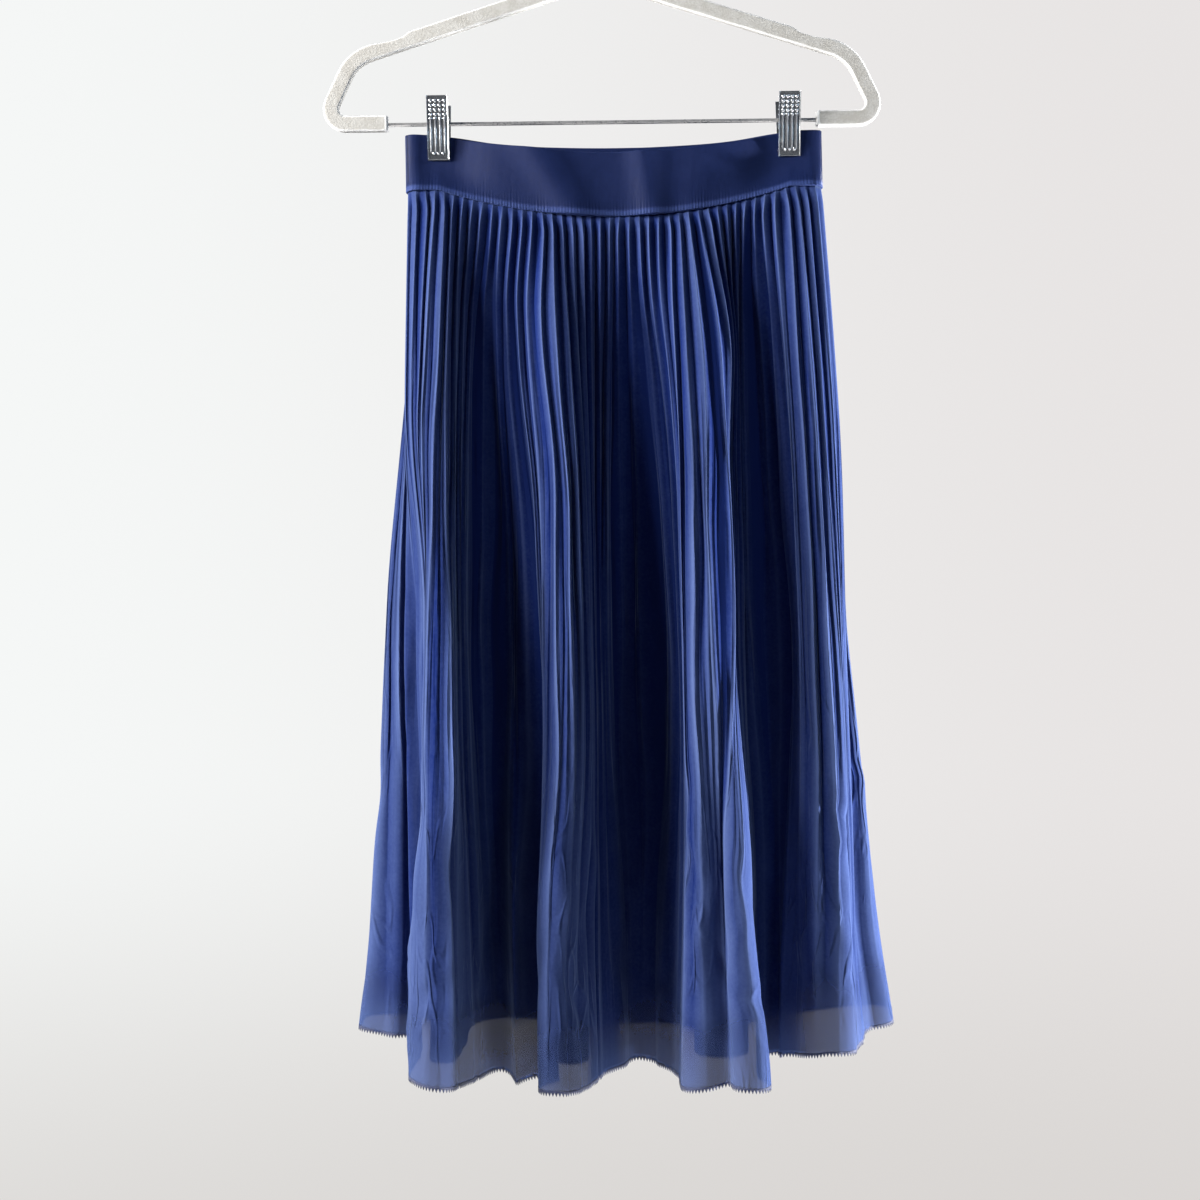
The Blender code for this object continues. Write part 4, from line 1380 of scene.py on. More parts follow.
    def build_spring(self, material: Material) -> None:
        """A coil round the bar: x runs evenly while y and z go round.

        Args:
            material: its finish.
        """
        between = self.width - 2 * (2 * self.ear_sheet + SIZES.seam_gap)
        length = between - 2 * (SIZES.seam_gap + self.spring_wire)
        steps = 36
        turn = np.linspace(0, self.spring_turns, self.spring_turns * steps + 1)
        path = np.stack([
            self.x + length * (turn / self.spring_turns - 0.5),
            self.spring_radius * np.cos(TURN * turn),
            self.bar_z + self.spring_radius * np.sin(TURN * turn),
        ], axis=1)
        piece = tube(f"clip_{self.label}_coil", path, self.spring_wire, 10).build(material, Slot.STEEL)
        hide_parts(f"clip_{self.label}_spring")


# ---------------------------------------------------------------- finishes
Colour = tuple[float, float, float]
Cloud = tuple[float, float]    # a mottle's scale, and its share of the finer noise
Socket = bpy.types.NodeSocket
Results = bpy.types.bpy_prop_collection    # sockets by name


class Span(NamedTuple):
    """A range of one value, and what its two ends stand for in another."""

    low: float
    high: float
    start: float = 0.0
    end: float = 1.0


class Nodes:
    """A node tree in the making."""

    def __init__(self, tree: bpy.types.NodeTree) -> None:
        """Keeps the tree."""
        self.tree = tree

    def add(self, kind: str, feeds: dict | None = None, **settings: object) -> bpy.types.Node:
        """Adds a node, with its settings and with values or links on its inputs.

        Args:
            kind: Blender's name of the node.
            feeds: a value or a socket for each input, by name or number.
            settings: the node's own properties, set first.

        Returns:
            The node.
        """
        node = self.tree.nodes.new(kind)
        for name, value in settings.items():
            setattr(node, name, value)
        for name, value in (feeds or {}).items():
            if isinstance(value, Socket):
                self.tree.links.new(value, node.inputs[name])
            else:
                node.inputs[name].default_value = value
        return node

    def ramp(self, value: Socket, span: Span) -> Socket:
        """Maps a value from low..high to start..end with an eased slope.

        Args:
            value: what is mapped.
            span: both ranges.

        Returns:
            The new value.
        """
        feeds = {"Value": value, "From Min": span.low, "From Max": span.high, "To Min": span.start,
                 "To Max": span.end}
        return self.add("ShaderNodeMapRange", feeds, interpolation_type="SMOOTHSTEP").outputs["Result"]

    def blend(self, share: Socket | float, *colours: Socket | Colour) -> Socket:
        """A mix of two colours, linked or plain, by the share of the second."""
        first, second = ((*colour, 1.0) if isinstance(colour, tuple) else colour for colour in colours)
        return self.add("ShaderNodeMix", {0: share, 6: first, 7: second}, data_type="RGBA").outputs[2]

    def maths(self, operation: str, *values: Socket | float) -> Socket:
        """One of the Math node's sums on as many values as it takes."""
        return self.add("ShaderNodeMath", dict(enumerate(values)), operation=operation).outputs[0]

    def times(self, *values: Socket | float) -> Socket:
        """The product of all the values."""
        first, *others = values
        return self.maths("MULTIPLY", self.times(first, *others[:-1]), others[-1]) if others else first

    def noise(self, vector: Socket, scale: Socket | float, detail: float) -> Socket:
        """A noise about 0.5."""
        feeds = {"Vector": vector, "Scale": scale, "Detail": detail}
        return self.add("ShaderNodeTexNoise", feeds).outputs["Fac"]

    def parts(self, vector: Socket) -> Results:
        """A vector's X, Y and Z."""
        return self.add("ShaderNodeSeparateXYZ", {0: vector}).outputs


class Group(Nodes):
    """A shared effect: a node group with one vector, named numbers and named results."""

    def __init__(self, name: str, *results: str, **numbers: float) -> None:
        """Makes the sockets.

        Args:
            name: the group's name.
            results: names of what it puts out.
            numbers: default of each number, with _ for a space in its name.
        """
        super().__init__(bpy.data.node_groups.new(name, "ShaderNodeTree"))
        new_socket = self.tree.interface.new_socket
        new_socket("Vector", in_out="INPUT", socket_type="NodeSocketVector")
        for label, default in numbers.items():
            number = new_socket(label.replace("_", " "), in_out="INPUT", socket_type="NodeSocketFloat")
            number.default_value = default
        for label in results:
            new_socket(label, in_out="OUTPUT", socket_type="NodeSocketFloat")
        self.given = self.add("NodeGroupInput").outputs
        self.results = self.add("NodeGroupOutput").inputs

    def put(self, label: str, socket: Socket) -> None:
        """Links one result."""
        self.tree.links.new(socket, self.results[label])


class Effects:
    """The node groups that several finishes share."""

    def __init__(self) -> None:
        """Builds each group once."""
        self.mottle = self._mottle()
        self.weave = self._weave()
        self.broken_mask = self._broken_mask()
        self.creases = self._creases()
        self.pressed = self._pressed()
        self.facets = self._facets()

    @staticmethod
    def _mottle() -> Group:
        """Cloudy unevenness: a coarse noise and one six times finer, put together by a share.

        Returns:
            The group.
        """
        g = Group("mottle", "Value", "Fine", Scale=40.0, Fine_Share=0.4)
        vector, scale, share = g.given["Vector"], g.given["Scale"], g.given["Fine Share"]
        coarse = g.noise(vector, scale, 3.0)
        fine = g.noise(vector, g.times(scale, 6.0), 2.0)
        rest = g.maths("SUBTRACT", 1.0, share)
        g.put("Value", g.maths("ADD", g.times(coarse, rest), g.times(fine, share)))
        g.put("Fine", fine)
        return g

    @staticmethod
    def _weave() -> Group:
        """Yarns: the larger of a sine across the warp and one across the weft, from 0 to 1.

        Returns:
            The group.
        """
        g = Group("weave", "Height", Warp_Pitch=0.0005, Weft_Pitch=0.0005)
        parts = g.parts(g.given["Vector"])
        waves = []
        for axis, pitch in (("X", "Warp Pitch"), ("Y", "Weft Pitch")):
            wave = g.maths("SINE", g.times(g.maths("DIVIDE", parts[axis], g.given[pitch]), TURN))
            waves.append(g.maths("MULTIPLY_ADD", wave, 0.5, 0.5))
        g.put("Height", g.maths("MAXIMUM", *waves))
        return g

    @staticmethod
    def _broken_mask() -> Group:
        """A mask broken up by a noise, then sharpened: the fluff's tufts, and the flock's paler corners.

        Returns:
            The group.
        """
        g = Group("broken_mask", "Worn", Mask=0.0, Scale=300.0)
        noise = g.noise(g.given["Vector"], g.given["Scale"], 3.0)
        broken = g.times(g.given["Mask"], g.maths("ADD", noise, 0.45))
        g.put("Worn", g.ramp(broken, Span(0.25, 0.85)))
        return g

    @staticmethod
    def _creases() -> Group:
        """Thin worn lines in two directions: each is highest where a long noise is near 0.5.

        Returns:
            The group.
        """
        g = Group("creases", "Height", Scale=40.0)
        lines = []
        for turn, gain in ((0.55, 1.6), (-0.40, 1.3)):
            turned = g.add("ShaderNodeMapping", {
                "Vector": g.given["Vector"], "Rotation": (0.0, 0.0, turn), "Scale": (1.0, 0.3, 1.0)})
            noise = g.noise(turned.outputs["Vector"], g.given["Scale"], 1.0)
            away = g.maths("ABSOLUTE", g.maths("SUBTRACT", noise, 0.5))
            lines.append(g.ramp(away, Span(0.0, 0.045, gain, 0.0)))
        g.put("Height", g.maths("ADD", *lines))
        return g

    @staticmethod
    def _pressed() -> Group:
        """Faint press lines down the cloth: a triangle wave, moved and weakened by long noises.

        Returns:
            The group.
        """
        g = Group("pressed", "Height", Pitch=0.009)
        vector = g.given["Vector"]
        drawn = g.add("ShaderNodeMapping", {"Vector": vector, "Scale": (1.0, 0.10, 1.0)}).outputs["Vector"]
        moved, weakened = (g.noise(drawn, scale, 1.0) for scale in (35.0, 110.0))
        turns = g.maths("DIVIDE", g.parts(vector)["X"], g.given["Pitch"])
        wave = g.maths("PINGPONG", g.maths("MULTIPLY_ADD", moved, 1.6, turns), 0.5)
        g.put("Height", g.times(wave, g.ramp(weakened, Span(0.35, 0.65, 0.6, 2.2))))
        return g

    @staticmethod
    def _facets() -> Group:
        """Painted light and shade: a tone of its own, from -0.5 to 0.5, for each strip of the cloth between
        two creases, as if each faced the light its own way.

        Returns:
            The group.
        """
        g = Group("facets", "Tone", Pitch=0.0135)
        number = g.maths("FLOOR", g.maths("DIVIDE", g.parts(g.given["Vector"])["X"], g.given["Pitch"]))
        drawn = g.add("ShaderNodeTexWhiteNoise", {"W": number}, noise_dimensions="1D")
        g.put("Tone", g.maths("SUBTRACT", drawn.outputs["Value"], 0.5))
        return g


class Finish(Nodes):
    """A material in the making: its tree, its shader and the shared groups."""

    def __init__(self, name: str, effects: Effects) -> None:
        """Starts a Principled material.

        Args:
            name: the finish's name.
            effects: the shared groups.
        """
        self.effects = effects
        self.material = bpy.data.materials.new(name)
        self.material.use_nodes = True
        super().__init__(self.material.node_tree)
        self.shader = self.tree.nodes["Principled BSDF"]

    def constant(self, **values: float | tuple[float, ...]) -> None:
        """Sets plain values on the shader, with _ for a space in each socket's name."""
        for name, value in values.items():
            self.shader.inputs[name.replace("_", " ")].default_value = value

    def feed(self, name: str, socket: Socket) -> None:
        """Links a varying value to one of the shader's sockets."""
        self.tree.links.new(socket, self.shader.inputs[name])

    def place(self) -> Socket:
        """Place on the piece, in metres."""
        return self.add("ShaderNodeTexCoord").outputs["Object"]

    def cloth_place(self) -> Socket:
        """Metres along and down the cloth."""
        return self.add("ShaderNodeUVMap", uv_map="cloth").outputs["UV"]

    def mark(self, name: str) -> Socket:
        """A value that the mesh carries at each point, or 0 where it carries none."""
        return self.add("ShaderNodeAttribute", attribute_name=name).outputs["Fac"]

    def effect(self, group: Group, vector: Socket, **feeds: Socket | float) -> Results:
        """Results of a shared group with its own values, with _ for a space in each number's name."""
        named = {name.replace("_", " "): value for name, value in feeds.items()}
        return self.add("ShaderNodeGroup", {"Vector": vector, **named}, node_tree=group.tree).outputs

    def mottle(self, vector: Socket, cloud: Cloud) -> Results:
        """The mottle's results, Value and Fine."""
        return self.effect(self.effects.mottle, vector, Scale=cloud[0], Fine_Share=cloud[1])

    def bump(self, height: Socket, distance: float, strength: float = 1.0) -> None:
        """Feeds a height to the shader's normal, with the metres that a height of 1 stands for."""
        feeds = {"Height": height, "Distance": distance, "Strength": strength}
        self.feed("Normal", self.add("ShaderNodeBump", feeds).outputs["Normal"])


class Look(ABC):
    """A finish of the part: its name, and how it dresses its shader."""

    name: str

    @abstractmethod
    def dress(self, f: Finish) -> None:
        """Sets and feeds the shader of a material in the making."""

    def build(self, effects: Effects) -> Material:
        """Makes the material.

        Args:
            effects: the shared groups.

        Returns:
            The material.
        """
        f = Finish(self.name, effects)
        self.dress(f)
        return f.material


@dataclass(frozen=True)
class ChiffonFinish(Look):
    """Navy chiffon: fine crinkled yarns, with painted shade in its valleys and recesses and painted light on
    its ridges, and sheer in one layer at the hem.

    It reads the marks of the mesh: ridge, the pleats' height; crest, how near a pleat's ridge is;
    fold, how near the outermost folds are; down, the way down; and doubled, where it lies two deep.
    """

    name: str = "navy_chiffon_cloth"
    # painted shade: the colour of the pleats' valleys and of the recesses between folds
    valley: Colour = (0.006, 0.014, 0.082)
    # painted light: the colour of the pleats' ridges and of the outermost folds
    ridge: Colour = (0.062, 0.090, 0.208)
    # painted light and shade: less of the ridge's colour in valleys and recesses and towards the waist
    pale_by_ridge: Span = Span(-0.9, 0.9)
    pale_by_fold: Span = Span(0.20, 0.90, 0.25, 1.15)
    pale_by_down: Span = Span(0.25, 0.78, 0.58, 1.0)
    edge_light: float = 0.26       # painted highlight: more of the ridge's colour on each pleat's very edge
    edge_by_crest: Span = Span(0.76, 1.0)
    edge_by_fold: Span = Span(0.0, 0.6, 0.3, 1.2)
    edge_by_down: Span = Span(0.60, 0.88, 1.0, 0.30)
    facet_pitch: float = 0.0135    # cloth in half a pleat
    facet_by_down: Span = Span(0.55, 0.95, 0.26, 0.0468)   # painted light and shade: how much two facets' colours may differ
    grain: Cloud = (70.0, 0.6)
    cloudy: float = 0.45           # share of the grain in the colour
    thin: Colour = (0.050, 0.078, 0.195)
    thin_by_down: Span = Span(0.94, 1.0, 0.0, 0.7)
    sheer_by_down: Span = Span(0.905, 0.945)
    sheer_cloud: Cloud = (11.0, 0.1)
    sheer_wave: float = 0.06       # how far up and down the sheer hem's upper line wanders
    crepe: Cloud = (140.0, 0.7)
    alpha_by_crepe: Span = Span(0.3, 0.7, 0.735, 0.705)    # of each face of the thin shell
    alpha_by_fold: Span = Span(0.1, 0.7, 0.12, 0.0)        # added in the recesses, partly for the layers lying deeper there and partly as painted shade that hides the pale backdrop
    alpha_doubled: Span = Span(0.0, 0.6, 0.7, 0.93)        # at least, where it lies two deep
    yarn: float = 0.3              # height of the yarns as a share of the grain's
    fine: float = 0.12             # height of both as a share of the creases'
    patches: Cloud = (9.0, 0.2)
    creased: Span = Span(0.46, 0.60)                       # by those patches
    creased_by_down: Span = Span(0.35, 0.80)
    creased_by_fold: Span = Span(0.25, 0.75, 0.2, 1.0)
    crease_height: float = 0.0006
    press_pitch: float = 0.0090    # three faint press lines to a pleat
    press_share: float = 2.40      # of the creases' height
    press_begins: Span = Span(0.08, 0.38)
    press_ends: Span = Span(0.50, 0.84, 1.0, 0.04)
    press_by_fold: Span = Span(0.40, 0.95, 0.9, 1.7)

    def dress(self, f: Finish) -> None:
        """Feeds the colour, the alpha and the height of the cloth.

        Args:
            f: the material in the making.
        """
        f.constant(Roughness=0.72, Sheen_Weight=0.15, Sheen_Roughness=0.45,
                   Sheen_Tint=(0.45, 0.62, 1.0, 1.0), Specular_IOR_Level=0.0)
        grain = f.mottle(f.place(), self.grain)
        # painted light and shade: the valley's and the ridge's colours mixed by the pleats' form
        solid = f.blend(self._painted_light_and_shade(f, grain["Value"]), self.valley, self.ridge)
        f.feed("Base Color", f.blend(f.ramp(f.mark("down"), self.thin_by_down), solid, self.thin))
        f.feed("Alpha", self._alpha(f))
        f.bump(self._height(f, grain["Fine"]), self.crease_height)

    def _painted_light_and_shade(self, f: Finish, grain: Socket) -> Socket:
        """Painted light and shade: the pleats' height, the nearness of the outermost folds, the lit edges
        and the facets' tones, with the grain, added up.

        Args:
            f: the material in the making.
            grain: a mottle about 0.5.

        Returns:
            Share of the ridge's colour.
        """
        fold, down = f.mark("fold"), f.mark("down")
        # painted shade in the valleys, the recesses and towards the waist; painted light on the ridges
        pale = f.times(f.ramp(f.mark("ridge"), self.pale_by_ridge), f.ramp(fold, self.pale_by_fold),
                       f.ramp(down, self.pale_by_down))
        # painted highlight along each pleat's edge
        edge = f.times(f.ramp(f.mark("crest"), self.edge_by_crest), f.ramp(fold, self.edge_by_fold),
                       f.ramp(down, self.edge_by_down))
        pale = f.maths("MULTIPLY_ADD", edge, self.edge_light, pale)
        # painted light and shade: a tone of its own for each facet
        facets = f.effect(f.effects.facets, f.cloth_place(), Pitch=self.facet_pitch)["Tone"]
        pale = f.maths("MULTIPLY_ADD", facets, f.ramp(down, self.facet_by_down), pale)
        return f.maths("MULTIPLY_ADD", f.maths("SUBTRACT", grain, 0.5), self.cloudy, pale)

    def _alpha(self, f: Finish) -> Socket:
        """1 down to a line that wanders above the hem, and that of the thin cloth below it.

        Args:
            f: the material in the making.

        Returns:
            The alpha.
        """
        cloth = f.cloth_place()
        wave = f.maths("SUBTRACT", f.mottle(cloth, self.sheer_cloud)["Value"], 0.5)
        level = f.maths("MULTIPLY_ADD", wave, self.sheer_wave, f.mark("down"))
        layer = f.ramp(f.mottle(cloth, self.crepe)["Value"], self.alpha_by_crepe)
        # partly painted shade: less of the pale backdrop shows through the recesses
        layer = f.maths("ADD", layer, f.ramp(f.mark("fold"), self.alpha_by_fold))
        layer = f.maths("MAXIMUM", layer, f.ramp(f.mark("doubled"), self.alpha_doubled))
        return f.add("ShaderNodeMix", {0: f.ramp(level, self.sheer_by_down), 2: 1.0, 3: layer}).outputs[0]

    def _height(self, f: Finish, grain: Socket) -> Socket:
        """Worn creases in patches, press lines, yarns and the grain, added up.

        Args:
            f: the material in the making.
            grain: a fine noise.

        Returns:
            Height as a share of the creases' own.
        """
        cloth, fold, down = f.cloth_place(), f.mark("fold"), f.mark("down")
        yarns = f.effect(f.effects.weave, cloth, Warp_Pitch=0.0011, Weft_Pitch=0.0013)["Height"]
        grain = f.maths("MULTIPLY_ADD", yarns, self.yarn, grain)
        here = f.times(f.ramp(f.mottle(cloth, self.patches)["Value"], self.creased),
                       f.ramp(down, self.creased_by_down), f.ramp(fold, self.creased_by_fold))
        lines = f.times(f.effect(f.effects.creases, cloth, Scale=42.0)["Height"], here)
        lines = f.maths("MULTIPLY_ADD", grain, self.fine, lines)
        pressed = f.effect(f.effects.pressed, cloth, Pitch=self.press_pitch)["Height"]
        there = f.times(f.ramp(down, self.press_begins), f.ramp(down, self.press_ends),
                        f.ramp(fold, self.press_by_fold), self.press_share)
        return f.maths("MULTIPLY_ADD", pressed, there, lines)


@dataclass(frozen=True)
class PicotFinish(Look):
    """The whipped edge: close dark thread with a painted highlight on the top of each stitch."""

    name: str = "navy_picot_thread"
    thread: Colour = (0.005, 0.009, 0.045)
    # painted highlight on the tops of the yarns
    lit: Colour = (0.012, 0.022, 0.090)

    def dress(self, f: Finish) -> None:
        """Feeds the stitches to the height, and to the colour as a painted highlight on their tops.

        Args:
            f: the material in the making.
        """
        f.constant(Roughness=0.6, Sheen_Weight=0.2)
        yarns = f.effect(f.effects.weave, f.cloth_place(), Warp_Pitch=0.00145, Weft_Pitch=0.0006)["Height"]
        f.feed("Base Color", f.blend(yarns, self.thread, self.lit))
        f.bump(yarns, 0.0002)


@dataclass(frozen=True)
class ElasticFinish(Look):
    """Satin elastic: close upright ribs crossed by fine weft, cloudy patches that are partly its own
    unevenness and partly painted sheen, fluff along its seam, and two specks.

    It reads the marks of the mesh: rise, the height above the lower edge; and groove, the side seams.
    """

    name: str = "navy_elastic_band"
    cloud: Cloud = (60.0, 0.5)
    # a shaded and a lit colour, mixed in clouds: partly the elastic's own unevenness, partly painted sheen
    shade: Colour = (0.0033, 0.0078, 0.041)
    lit: Colour = (0.0084, 0.0178, 0.077)
    seam: Colour = (0.001, 0.002, 0.012)
    fluff: Colour = (0.036, 0.058, 0.180)
    fluff_by_rise: Span = Span(0.0085, 0.0010)
    speck: Colour = (0.200, 0.230, 0.350)
    specks: tuple[Colour, ...] = ((0.0880, -0.0090, -0.2428), (0.0670, -0.0090, -0.2632))
    speck_edge: Span = Span(0.0009, 0.0004, 0.0, 0.7)
    roughness: Span = Span(0.3, 0.7, 0.44, 0.58)

    def dress(self, f: Finish) -> None:
        """Lays clouds, partly painted sheen, then fluff, seams and specks over each other, and ribs as
        height.

        Args:
            f: the material in the making.
        """
        f.constant(Sheen_Weight=0.12, Sheen_Roughness=0.35, Sheen_Tint=(0.30, 0.45, 1.0, 1.0),
                   Specular_IOR_Level=0.12)
        place = f.place()
        cloud = f.mottle(place, self.cloud)
        ribs = f.effect(f.effects.weave, f.cloth_place(), Warp_Pitch=0.0009, Weft_Pitch=0.0006)["Height"]
        tufts = f.effect(f.effects.broken_mask, place, Mask=f.ramp(f.mark("rise"), self.fluff_by_rise), Scale=900.0)
        # partly painted sheen: shaded and lit colours in clouds
        colour = f.blend(cloud["Value"], self.shade, self.lit)
        colour = f.blend(f.times(tufts["Worn"], 0.75), colour, self.fluff)
        colour = f.blend(f.times(f.mark("groove"), 0.8), colour, self.seam)
        for spot in self.specks:
            apart = f.add("ShaderNodeVectorMath", {0: place, 1: spot}, operation="DISTANCE").outputs["Value"]
            colour = f.blend(f.ramp(apart, self.speck_edge), colour, self.speck)
        f.feed("Base Color", colour)
        f.feed("Roughness", f.ramp(cloud["Value"], self.roughness))
        f.bump(f.maths("ADD", ribs, cloud["Fine"]), 0.00012, 0.7)


@dataclass(frozen=True)
class FlockFinish(Look):
    """Cream velvet flock: a mottled nap, paler along the frame's corners and near its ends, as the mesh's
    mark says.
    """

    name: str = "cream_flock_nap"
    cloud: Cloud = (110.0, 0.5)
    nap: Colour = (0.395, 0.375, 0.338)
    bright: Colour = (0.470, 0.455, 0.422)
    pale_edge_colour: Colour = (0.780, 0.770, 0.745)
    bright_by_cloud: Span = Span(0.38, 0.62)

    def dress(self, f: Finish) -> None:
        """Feeds the mottled nap, and its paler corners and ends.

        Args:
            f: the material in the making.
        """
        f.constant(Roughness=0.92, Sheen_Weight=0.45, Sheen_Roughness=0.5, Specular_IOR_Level=0.2)
        place = f.place()
        cloud = f.mottle(place, self.cloud)
        # paler along the frame's corners and near its ends
        worn = f.effect(f.effects.broken_mask, place, Mask=f.mark("worn"), Scale=160.0)["Worn"]
        colour = f.blend(f.ramp(cloud["Value"], self.bright_by_cloud), self.nap, self.bright)
        f.feed("Base Color", f.blend(worn, colour, self.pale_edge_colour))
        f.bump(cloud["Fine"], 0.0004, 0.7)


@dataclass(frozen=True)
class MetalFinish(Look):
    """Drawn or plated metal, with small scratches, and darker where the mesh's relief is low: painted shade
    and dark reflection between the studs and ribs.
    """

    name: str
    face: Colour
    # painted shade and dark reflection where the relief is low
    hollow: Colour
    roughness: float
    metallic: float
    scratches: Cloud = (260.0, 0.5)

    def dress(self, f: Finish) -> None:
        """Feeds the scratches, and the colour of faces and of hollows, whose darker colour is painted shade
        and dark reflection.

        Args:
            f: the material in the making.
        """
        f.constant(Metallic=self.metallic)
        scratches = f.mottle(f.place(), self.scratches)
        dull, bright = 1.4 * self.roughness, 0.7 * self.roughness
        # painted shade and dark reflection in the hollows
        f.feed("Base Color", f.blend(f.ramp(f.mark("relief"), Span(0.05, 0.7)), self.hollow, self.face))
        f.feed("Roughness", f.ramp(scratches["Value"], Span(0.3, 0.7, bright, dull)))
        f.bump(scratches["Fine"], 0.00002, 0.3)


STEEL = MetalFinish("bright_steel_wire", (0.62, 0.60, 0.58), (0.60, 0.585, 0.57), 0.32, 0.75)
# the chrome's dark hollow colour is painted shade and dark reflection
CHROME = MetalFinish("clip_chrome_plate", (0.78, 0.79, 0.81), (0.30, 0.31, 0.32), 0.20, 0.85)


# ---------------------------------------------------------------- the studio
class Lamp(NamedTuple):
    """A soft round panel that faces the skirt."""

    name: str
    place: tuple[float, float, float]
    size: float      # across, in metres
    power: float     # watts
    colour: Colour = (1.0, 1.0, 1.0)


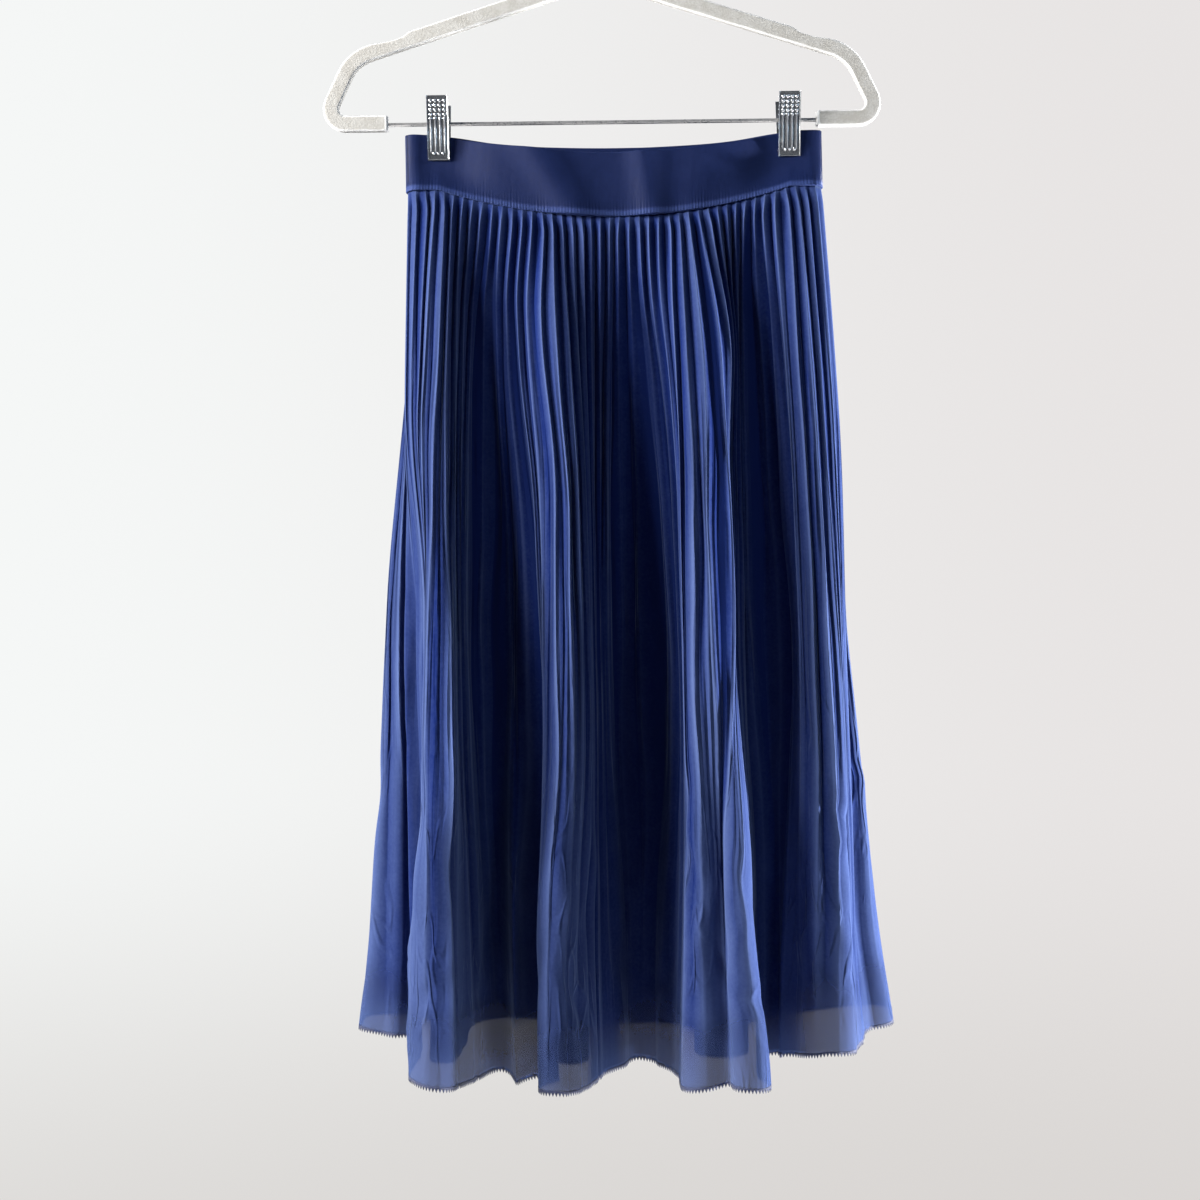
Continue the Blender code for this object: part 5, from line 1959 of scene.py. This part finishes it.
@dataclass(frozen=True)
class Studio:
    """Pale surroundings, soft lights and the camera."""

    camera_at: tuple[float, float, float] = (-0.0064, -1.15, -0.597)
    roll: float = math.radians(0.7)
    half_width: float = 0.48       # of the view at the hanger's own distance
    floor_z: float = -1.75
    floor_radius: float = 1.25
    floor_curl: float = 0.01       # how far its rim turns down
    floor_rings: int = 24
    floor_spokes: int = 96
    floor_cloud: Cloud = (1.5, 0.2)
    floor_dark: Colour = (0.78, 0.77, 0.75)
    floor_light: Colour = (0.86, 0.85, 0.84)
    aim: tuple[float, float, float] = (0.0, 0.0, -0.55)
    lamps: tuple[Lamp, ...] = (
        Lamp("left", (-2.2, -0.58, 0.05), 0.7, 132.0, (1.0, 0.99, 0.98)),
        Lamp("right", (2.2, -0.035, -0.95), 0.16, 215.0, (0.98, 0.985, 1.0)),
        Lamp("over", (1.1, -1.3, 0.25), 0.4, 4.6, (0.62, 0.82, 1.0)),
        Lamp("upper", (-1.35, -0.95, 0.40), 0.4, 30.0),
        Lamp("card", (0.1, -2.7, -0.30), 0.8, 0.8),
        Lamp("behind", (1.7, 1.5, 0.10), 0.7, 70.0),
    )
    # painted light on the backdrop the camera sees: paler on the left, darker to the right and towards the
    # bottom
    seen_left: Colour = (0.915, 0.930, 0.925)
    seen_right: Colour = (0.800, 0.775, 0.770)
    seen_low: Colour = (0.665, 0.640, 0.620)
    lit_ahead: Colour = (0.012, 0.018, 0.036)
    lit_behind: Colour = (0.052, 0.066, 0.100)
    lit_low: Colour = (0.068, 0.085, 0.125)

    def add_camera(self) -> None:
        """A level camera that faces the skirt's front."""
        data = bpy.data.cameras.new("camera")
        data.sensor_fit = "HORIZONTAL"
        data.angle = 2 * math.atan(self.half_width / -self.camera_at[1])
        camera = bpy.data.objects.new("camera", data)
        camera.location = self.camera_at
        camera.rotation_euler = (math.radians(90), self.roll, 0.0)
        bpy.context.scene.collection.objects.link(camera)
        bpy.context.scene.camera = camera

    def add_floor(self, effects: Effects) -> None:
        """A pale round floor below the view: rings of a disc whose rim curls down a little.

        Args:
            effects: the shared groups.
        """
        rings, spokes = self.floor_rings, self.floor_spokes
        r = np.linspace(0.01, self.floor_radius, rings)[:, None, None]
        z = self.floor_z - self.floor_curl * smoothstep(0.9, 1.0, r / self.floor_radius)
        disc = r * circle(spokes)[None]
        points = np.concatenate([disc, np.broadcast_to(z, (rings, spokes, 1))], axis=2).reshape(-1, 3)
        faces = [tuple(f) for f in grid_faces(rings, spokes, wrap_columns=True).tolist()]
        mesh = bpy.data.meshes.new("floor")
        mesh.from_pydata(points.tolist(), [], faces + [tuple(range(spokes))])
        finish = Finish("pale_floor", effects)
        finish.constant(Roughness=0.8)
        cloud = finish.mottle(finish.place(), self.floor_cloud)["Value"]
        finish.feed("Base Color", finish.blend(cloud, self.floor_dark, self.floor_light))
        mesh.materials.append(finish.material)
        floor = bpy.data.objects.new("floor", mesh)
        bpy.context.scene.collection.objects.link(floor)

    def add_lights(self) -> None:
        """Six soft panels: keys from the left and low on the right, two weaker ones above, a card
        in front, and one behind that shines through the sheer hem.
        """
        for lamp in self.lamps:
            data = bpy.data.lights.new(lamp.name, "AREA")
            data.shape, data.size, data.energy, data.color = "DISK", lamp.size, lamp.power, lamp.colour
            light = bpy.data.objects.new(lamp.name, data)
            light.location = lamp.place
            way = mathutils.Vector(self.aim) - light.location
            light.rotation_euler = way.to_track_quat("-Z", "Y").to_euler()
            bpy.context.scene.collection.objects.link(light)

    def add_surroundings(self) -> None:
        """A pale gradient to look at, with painted light: paler on the left, darker to the right and towards
        the bottom; and a dim one that lights and reflects.
        """
        world = bpy.data.worlds.new("surroundings")
        world.use_nodes = True
        world.node_tree.nodes.clear()
        n = Nodes(world.node_tree)
        parts = n.parts(n.add("ShaderNodeTexCoord").outputs["Generated"])
        # painted light: the backdrop paler on the left and darker to the right and low down
        seen = n.blend(n.ramp(parts["X"], Span(-0.42, 0.42)), self.seen_left, self.seen_right)
        seen = n.blend(n.times(n.ramp(parts["Z"], Span(-0.10, -0.42)), 0.8), seen, self.seen_low)
        lit = n.blend(n.ramp(parts["Y"], Span(-0.6, 0.7)), self.lit_ahead, self.lit_behind)
        lit = n.blend(n.ramp(parts["Z"], Span(-0.2, -0.9, 0.0, 0.6)), lit, self.lit_low)
        straight = n.add("ShaderNodeLightPath").outputs["Is Camera Ray"]
        glow = n.add("ShaderNodeBackground", {"Color": n.blend(straight, lit, seen), "Strength": 1.0})
        n.add("ShaderNodeOutputWorld", {"Surface": glow.outputs[0]})
        bpy.context.scene.world = world

    def build(self, effects: Effects) -> None:
        """Puts the studio round the part.

        Args:
            effects: the shared groups.
        """
        self.add_camera()
        self.add_floor(effects)
        self.add_lights()
        self.add_surroundings()
        view = bpy.context.scene.view_settings
        view.view_transform = "Standard"
        view.look = "None"


def main() -> None:
    """Builds every piece in order."""
    logging.basicConfig(level=logging.INFO, format="%(name)s: %(message)s")
    effects = Effects()
    Studio().build(effects)
    steel, chrome = STEEL.build(effects), CHROME.build(effects)

    chiffon = Chiffon()
    band = Waistband().build(chiffon.form, ElasticFinish().build(effects))
    cloth, picot = ChiffonFinish().build(effects), PicotFinish().build(effects)
    for side in Side:
        panel = Panel(side)
        panel.declare(panel.cloth(chiffon, cloth), panel.edging(chiffon, picot), band)

    hanger = Hanger()
    hanger.build_frame(FlockFinish().build(effects))
    hanger.build_hook(steel)
    hanger.build_bar(steel)
    for label, sign in (("left", -1), ("right", 1)):
        clip = Clip(label, SIZES.middle_x + sign * SIZES.clip_spread)
        clip.build_jaw(-1, chrome)
        clip.build_jaw(1, chrome)
        clip.build_spring(steel)


if __name__ == "__main__":
    main()
